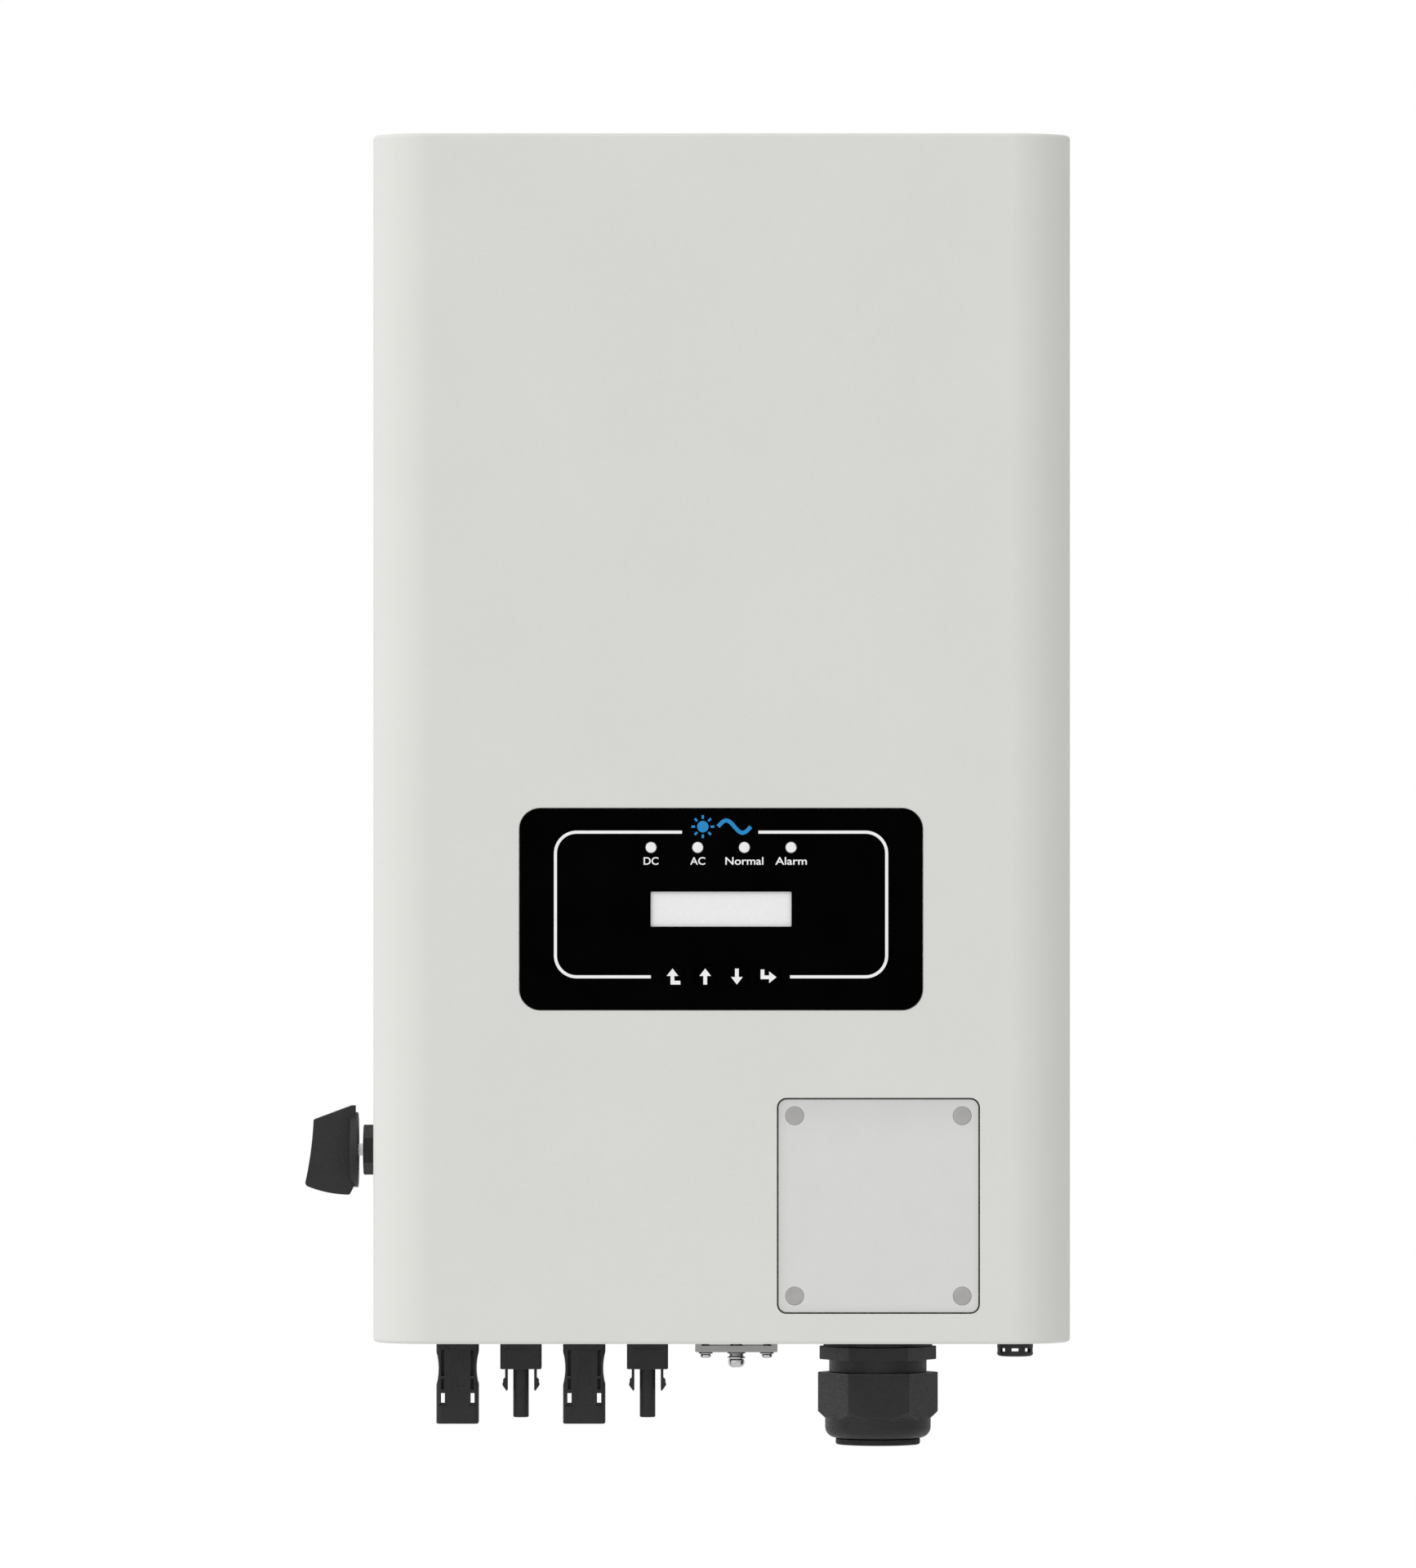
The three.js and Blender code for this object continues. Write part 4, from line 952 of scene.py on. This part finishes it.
def pv_plug():
    body = bevel(prism("plug", "z", -15.8, -2, rounded(19.7, 17, 1.6, steps=6)), 0.5, 3)
    inset = [(-8.2, -4.2), (8.2, -4.2), (6.4, -6.6), (-6.4, -6.6)]
    cut(body, *[prism("inset", "y", low, high, inset) for low, high in ((-9, -8.1), (8.1, 9))])
    tube_profile = [(0, -10), (3.75, -10), (3.75, -38.6), (3.4, -39), (2.2, -39), (2.0, -20), (0, -20)]
    tube = turned("tube", "z", tube_profile, sides=56)
    arm = [(-6.3, -12), (-7.6, -12), (-7.6, -20.1), (-8.5, -20.8), (-8.9, -23.6), (-6.8, -26.6),
           (-6.3, -25.7)]
    arms = []
    for side in (1, -1):
        outline = soften([(side * x, z) for x, z in arm], 0.3)
        arms.append(prism("arm", "y", -2.6, 2.6, outline))
        tooth = [(side * x, z) for x, z in ((-7.4, -22.1), (-9.3, -21.9), (-9.3, -22.5))]
        cut(arms[-1], prism("tooth", "y", -3, 3, tooth))
    return bevel(join(body, seat(), tube, *arms), 0.16, 2, angle=50)


for first, make, kind in ((0, pv_socket, "socket"), (1, pv_plug, "plug")):
    shape = make()
    for k in (first, first + 2):
        made = twin(shape, f"pv_{kind}_{k + 1}", PV_X[k], FITTINGS_Y, BOTTOM)
        fit(made, "inverter", "black_nylon", black_nylon, f"pv_connector_{k + 1}")
    bpy.data.objects.remove(shape)

# %% [markdown]
# ## The earthing plate
# A short bridge of thick strip is screwed to the floor of the housing, and the earth wire goes under
# the large screw in its middle. The strip is bent from one length, so its corners are round.

# %% Earthing plate and screws
EARTH = (EARTH_X, FITTINGS_Y, BOTTOM)
STRIP_UNDER = -7.6
bridge = [(-19.7, -0.3), (-19.7, STRIP_UNDER), (19.7, STRIP_UNDER), (19.7, -0.3)]
bridge += [(17, -0.3), (17, -4.6), (-17, -4.6), (-17, -0.3)]
plate = prism("earth_bridge", "y", -9, 9, soften(bridge, 0.7))
cut(plate, *[rod("hole", "z", radius, -9, 0, (x, 0, 0), 32) for x, radius in EARTH_HOLES])
fit(move(bevel(plate, 0.25, 2), *EARTH), "inverter", "aluminium", earth_metal, "earth_plate")


def cross(half, slot, low, high):
    """A cutter for a cross recess."""
    arms = [box("cross", (-a, -b, low), (a, b, high)) for a, b in ((half, slot), (slot, half))]
    return join(*arms)


PAN_SCREW = [(0, 8), (1.75, 8), (1.75, -8.75), (2.3, -8.95), (2.6, -9.2), (2.5, -10.1), (1.9, -10.65),
             (0.9, -10.8), (0, -10.8)]
WASHER = [(0, -7.9), (3.3, -7.9), (3.4, -8.05), (3.4, -8.55), (3.3, -8.7), (0, -8.7)]
for side, x in (("left", -14.65), ("right", 14.65)):
    screw = turned(f"earth_{side}_screw", "z", PAN_SCREW, sides=48)
    washer = turned("washer", "z", WASHER, sides=56)
    cut(join(screw, washer), cross(1.6, 0.35, -12, -9.7))
    move(screw, EARTH[0] + x, EARTH[1], EARTH[2])
    fit(screw, "inverter", "bright_steel", terminal_steel, f"earth_screw_{side}")

TERMINAL = [(0, 10), (2.85, 10), (2.85, -7.9)]
TERMINAL += [(4.2, -7.9), (4.4, -8.1), (4.4, -8.5), (3.4, -8.6), (3.4, -10.0)]  # two washers
TERMINAL += [(4.2, -10.1), (4.4, -10.3), (4.4, -10.7), (4.2, -10.9), (3.0, -10.95)]
TERMINAL += [(3.0, -11.3), (3.7, -11.4), (3.95, -11.8), (3.9, -13.3), (3.4, -14.5), (2.2, -15.2), (0, -15.4)]
terminal = turned("earth_terminal", "z", TERMINAL, sides=64)
cut(terminal, cross(2.3, 0.5, -17, -13.6), box("split", (2, -4.5, -8.4), (2.5, 0, -11)))
fit(move(terminal, *EARTH), "inverter", "bright_steel", terminal_steel, "earth_terminal_screw")

# %% [markdown]
# ## The cable gland
# The mains cable leaves through a large gland. Its body is screwed in from below against a flat rubber
# washer. Turning the nut pushes its dome down over fingers inside, and these squeeze a rubber seal on
# to the cable. The nut is a hexagon whose corners are turned off by a cone, which leaves the curved
# scallops on each flat: an intersection of the two solids gives exactly those.

# %% Gland
GLAND = (GLAND_X, FITTINGS_Y, BOTTOM)
ring = [(20.5, -2.4), (20.7, -2.3), (26.0, -2.3), (26.2, -2.5), (26.2, -4.3), (26.0, -4.5), (20.7, -4.5),
        (20.5, -4.4)]
ring = turned("gland_flat_washer", "z", ring, GLAND, 128)
fit(ring, "inverter", "black_rubber", black_rubber, "gland_washer")

flange = bevel(prism("gland_flange", "z", -11.3, -4.8, soften(hexagon(56.1), 0.8)), 0.4, 3, angle=40)
barrel = [(0, -36), (19.2, -36), (20, -35.2), (20, -17.2), (23.1, -17.2), (23.35, -16.9), (23.35, -11),
          (19.9, -11), (19.9, 14.4), (19.4, 15), (0, 15)]
through = [(0, 16), (16, 16), (16, -20), (18, -22), (18, -37), (0, -37)]
join(flange, turned("barrel", "z", barrel, sides=128))
cut(flange, turned("through", "z", through, sides=96))
fit(move(flange, *GLAND), "inverter", "black_nylon", black_nylon, "gland_body")

blank = prism("gland_cap", "z", -40.2, -17.3, soften(hexagon(57.7), 1.0))
cone = [(0, -17.3), (28.3, -17.3), (28.9, -17.8), (29, -18.2), (29, -35.8), (25.1, -39.6), (25.1, -40.2),
        (0, -40.2)]
keep(blank, turned("cone", "z", cone, sides=192))
dome = [(0, -38), (25.3, -38), (25.3, -43.4)]
for k in range(1, 13):
    turn = math.pi * k / 24
    dome.append((20.2 + 5.1 * math.cos(turn), -43.4 - 5.3 * math.sin(turn)))
dome.append((0, -48.7))
join(blank, turned("dome", "z", dome, sides=192))
well = [(0, -16), (20.4, -16), (20.4, -38), (18.1, -41), (18.1, -50), (0, -50)]
cut(blank, turned("well", "z", well, sides=128))
fit(move(bevel(blank, 0.5, 3, angle=24), *GLAND), "clamping_nut", "black_nylon", gland_nylon, "gland_nut")

seal = [(11.5, -24), (17.6, -24), (17.6, -48.9), (17.9, -49.1), (20.0, -49.1), (20.2, -49.3), (20.2, -51.3),
        (19.6, -51.9), (18.2, -51.9), (17.6, -51.3), (16.9, -51.3), (16.4, -51.9), (12.5, -51.9),
        (11.5, -50.5)]
seal = turned("gland_rubber_seal", "z", seal, GLAND, 128)
fit(seal, "seal", "black_rubber", black_rubber, "gland_seal")

# %% [markdown]
# ## The breather
# A sealed box would draw in water each time it cools, so a breather lets air pass through a membrane. Its
# cap has eight small windows, which is done by hollowing the cap and then cutting four bars through it.

# %% Breather
BREATHER = (BREATHER_X, FITTINGS_Y, BOTTOM)
WINDOWS = -7.9, -5.8
profile = [(0, -9.8), (7.2, -9.8), (8.1, -9.5), (8.6, -8.9), (8.6, -0.7), (8.2, -0.3), (5.8, -0.3),
           (5.8, 11.6), (5.4, 12), (0, 12)]
cap = turned("breather_vent", "z", profile)
cut(cap, rod("chamber", "z", 6.9, *WINDOWS, sides=64))
for k in range(4):
    along, across = math.cos(math.radians(45 * k)), math.sin(math.radians(45 * k))
    corners = ((-12, -1.8), (12, -1.8), (12, 1.8), (-12, 1.8))
    bar = [(x * along - y * across, x * across + y * along) for x, y in corners]
    cut(cap, prism("bar", "z", *WINDOWS, bar))
cut(cap, rod("airway", "z", 3, -6, 13, sides=32))
fit(move(bevel(cap, 0.18, 2, angle=45), *BREATHER), "inverter", "black_nylon", black_nylon, "breather_cap")

# %% [markdown]
# ## The back: heat sink, hanger and wall bracket
# The heat sink is one aluminium extrusion with twenty-five fins that narrow to round tips. The hanger is
# bent sheet, screwed to the fin tips, and its folded lip drops behind two hooks of the wall bracket.
# Bent sheet is drawn as the path of its middle, with round corners, widened to its thickness.

# %% Heat sink
BASE_FRONT, BASE_BACK, FIN_TIP = BACK + 0.3, -66, -18
HANGER_SCREWS = [(x, z) for x in (-93.5, 93.5) for z in (132, 178)]
comb = [(-138, BASE_FRONT), (138, BASE_FRONT), (138, BASE_BACK)]
for k in reversed(range(25)):
    x = 11 * (k - 12)
    comb += [(x + 1.5, BASE_BACK), (x + 1, FIN_TIP), (x - 1, FIN_TIP), (x - 1.5, BASE_BACK)]
comb += [(-138, BASE_BACK)]
sink = prism("heat_sink_extrusion", "z", -190, 262, soften(comb, 0.9))
join(sink, *[prism("pad", "z", z - 8, z + 8, rounded(11, 49, 1.5, x, -42.5, 4)) for x, z in HANGER_SCREWS])
cut(sink, *[rod("hole", "y", 2.5, -38, -17, (x, 0, z), 32) for x, z in HANGER_SCREWS])
cut(sink, box("beyond", (-150, FIN_TIP, -200), (150, FIN_TIP + 20, 270)))
fit(bevel(sink, 0.25, 2, angle=60), "inverter", "aluminium", aluminium, "heat_sink")

# %% Hanger
STEEL = 2.5


def bent(path, radius):
    """The section of a bent steel sheet whose middle follows this path."""
    return strip(soften(path, radius, closed=False, steps=6), STEEL)


middle = FIN_TIP + 0.3 + STEEL / 2
sheet = bent([(middle, 117), (middle, 191.25), (-5.75, 191.25), (-5.75, 160.8)], 3.2)
hanger = prism("hanger_sheet", "x", -100, 100, sheet)
face = prism("face", "y", middle - STEEL / 2, middle + STEEL / 2, rounded(220, 74.5, 5, 0, 155.25, 6))
join(hanger, face)
holes = [rod("hole", "y", 2.7, -20, -10, (x, 0, z), 32) for x, z in HANGER_SCREWS]
cut(hanger, *holes, box("below", (-120, -20, 110), (120, -10, 118)))
fit(bevel(hanger, 0.3, 2, angle=50), "inverter", "galvanised_steel", galvanised_steel, "hanger_plate")

SHEET_BACK = -15.2
profile = [(0, -12), (2.2, -12), (2.2, 0.3), (4.4, 0.3), (4.6, 0.5), (4.5, 1.4), (3.9, 2.1), (2.6, 2.5),
           (0, 2.5)]
profile = [(r, SHEET_BACK + y) for r, y in profile]
for k, (x, z) in enumerate(HANGER_SCREWS, 1):
    screw = turned(f"hanger_pan_screw_{k}", "y", profile, (x, 0, z), 40)
    cut(screw, recess_for("y", 3.6, SHEET_BACK + 0.9, SHEET_BACK + 4, (x, 0, z)))
    fit(screw, "inverter", "bright_steel", bright_steel, f"hanger_screw_{k}")

# %% Wall bracket
slots = [rounded(9, 16, 4.5, x, z, 8) for x in (-75, 75) for z in (-135, 135)]
bracket = prism("bracket_plate", "y", -STEEL, 0, rounded(190, 343, 5, 0, 3.5, 6), slots)
MIDDLE = -STEEL / 2
for side in (-1, 1):
    edge = side * 98.75
    flange = bent([(side * 92, MIDDLE), (edge, MIDDLE), (edge, -9)], 2.6)
    join(bracket, prism("flange", "z", -150, 100, flange))
foot = bent([(MIDDLE, -160), (MIDDLE, -168.75), (-17.7, -168.75)], 2.6)
join(bracket, prism("foot", "x", -94, 94, foot))
for x in (-60, 60):
    hook = bent([(MIDDLE, 150), (MIDDLE, 159.25), (-10.75, 159.25), (-10.75, 181.5)], 2.2)
    cut(bracket, prism("opening", "y", -4, 1, rounded(60, 21, 2, x, 171.5, 4)))
    join(bracket, prism("hook", "x", x - 29.8, x + 29.8, hook))
fit(bevel(bracket, 0.3, 2, angle=50), "bracket", "galvanised_steel", galvanised_steel, "wall_bracket")

# %% [markdown]
# ## Inside the box
# The boards, coils and terminals inside keep the shapes of the working model and get their own
# finishes. A board is green lacquer over copper tracks, so its finish draws fine tracks that run
# mostly one way. The choke is wound with enamelled copper wire, and its turns are a wave around it.

# %% Finishes for the electronics
circuit_board, tree, shader, where = begin("circuit_board", specular=0.5)
upright = node(tree, "Mapping", {"Vector": where, "Rotation": (math.pi / 2, 0, 0)}).outputs["Vector"]
bricks = {"Vector": upright, "Scale": 90.0, "Mortar Size": 0.06, "Mortar Smooth": 0.2,
          "Brick Width": 0.9, "Row Height": 0.22}
tracks = node(tree, "TexBrick", bricks).outputs["Fac"]
lacquer = blend(tree, blotches(tree, where, 12), (0.012, 0.085, 0.03), (0.02, 0.12, 0.045))
copper = blend(tree, tracks, lacquer, (0.05, 0.24, 0.10))
dress(tree, shader, copper, ramp(tree, tracks, 0, 1, 0.35, 0.5), tracks, 0.03)

copper_winding, tree, shader, where = begin("copper_winding", metal=0.7)
CHOKE, TURNS = (0.08, -0.117, -0.10), 60.0
centred = node(tree, "VectorMath", {0: where, 1: CHOKE}, operation="SUBTRACT").outputs["Vector"]
parts = node(tree, "SeparateXYZ", {"Vector": centred}).outputs
angle = node(tree, "Math", {0: parts["Z"], 1: parts["X"]}, operation="ARCTAN2").outputs[0]
turns = node(tree, "Math", {0: angle, 1: TURNS}, operation="MULTIPLY").outputs[0]
wire = ramp(tree, node(tree, "Math", {0: turns}, operation="SINE").outputs[0], -1, 1)
enamel = blend(tree, wire, (0.16, 0.05, 0.02), (0.55, 0.22, 0.09))
dress(tree, shader, enamel, ramp(tree, blotches(tree, where, 4), 0, 1, 0.25, 0.45), wire, 0.4)

potting = finish("potting", (0.016, 0.016, 0.018), (0.026, 0.026, 0.028), (0.45, 0.7), 0.8, 0.05, patch=10)
capacitor_sleeve = finish("capacitor_sleeve", (0.008, 0.010, 0.016), (0.014, 0.016, 0.024), (0.2, 0.36),
                          0.6, 0.02, patch=8, wear_and_highlight=(0.04, 0.04, 0.05))
terminal_plastic = finish("terminal_plastic", (0.035, 0.22, 0.075), (0.05, 0.28, 0.10), (0.4, 0.55),
                          0.5, 0.03, patch=10, wear_and_highlight=(0.10, 0.36, 0.16))

# %% [markdown]
# Every part of the working model that still shows now gets its finish by its name. A part that has been
# replaced above doesn't show, and it is left out here.

# %% Paint the parts that stay
STAY = {
    black_rubber: ("housing_gasket", "wiring_cover_gasket"),
    black_nylon: ("switch_body", "pv_nut_1", "pv_nut_2", "pv_nut_3", "pv_nut_4", "gland_lock_nut",
                  "breather_nut"),
    bright_steel: ("switch_shaft",),
    circuit_board: ("display_board", "power_board", "control_board"),
    potting: ("power_module", "grid_relay"),
    capacitor_sleeve: ("bus_capacitor_1", "bus_capacitor_2"),
    aluminium: ("boost_inductor",),
    copper_winding: ("filter_choke",),
    terminal_plastic: ("ac_terminal_block",),
}
for material, names in STAY.items():
    for name in names:
        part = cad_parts[name]
        part.data.materials.clear()
        part.data.materials.append(material)
print("painted", sum(len(names) for names in STAY.values()), "parts of the working model")

# %% [markdown]
# ## Measure and finish
# The dressed inverter has to keep the size of the working model, so the working model's box is printed.

# %% Sizes and the end
print("model box", [round(v, 4) for v in (*cad_low, *cad_high)])
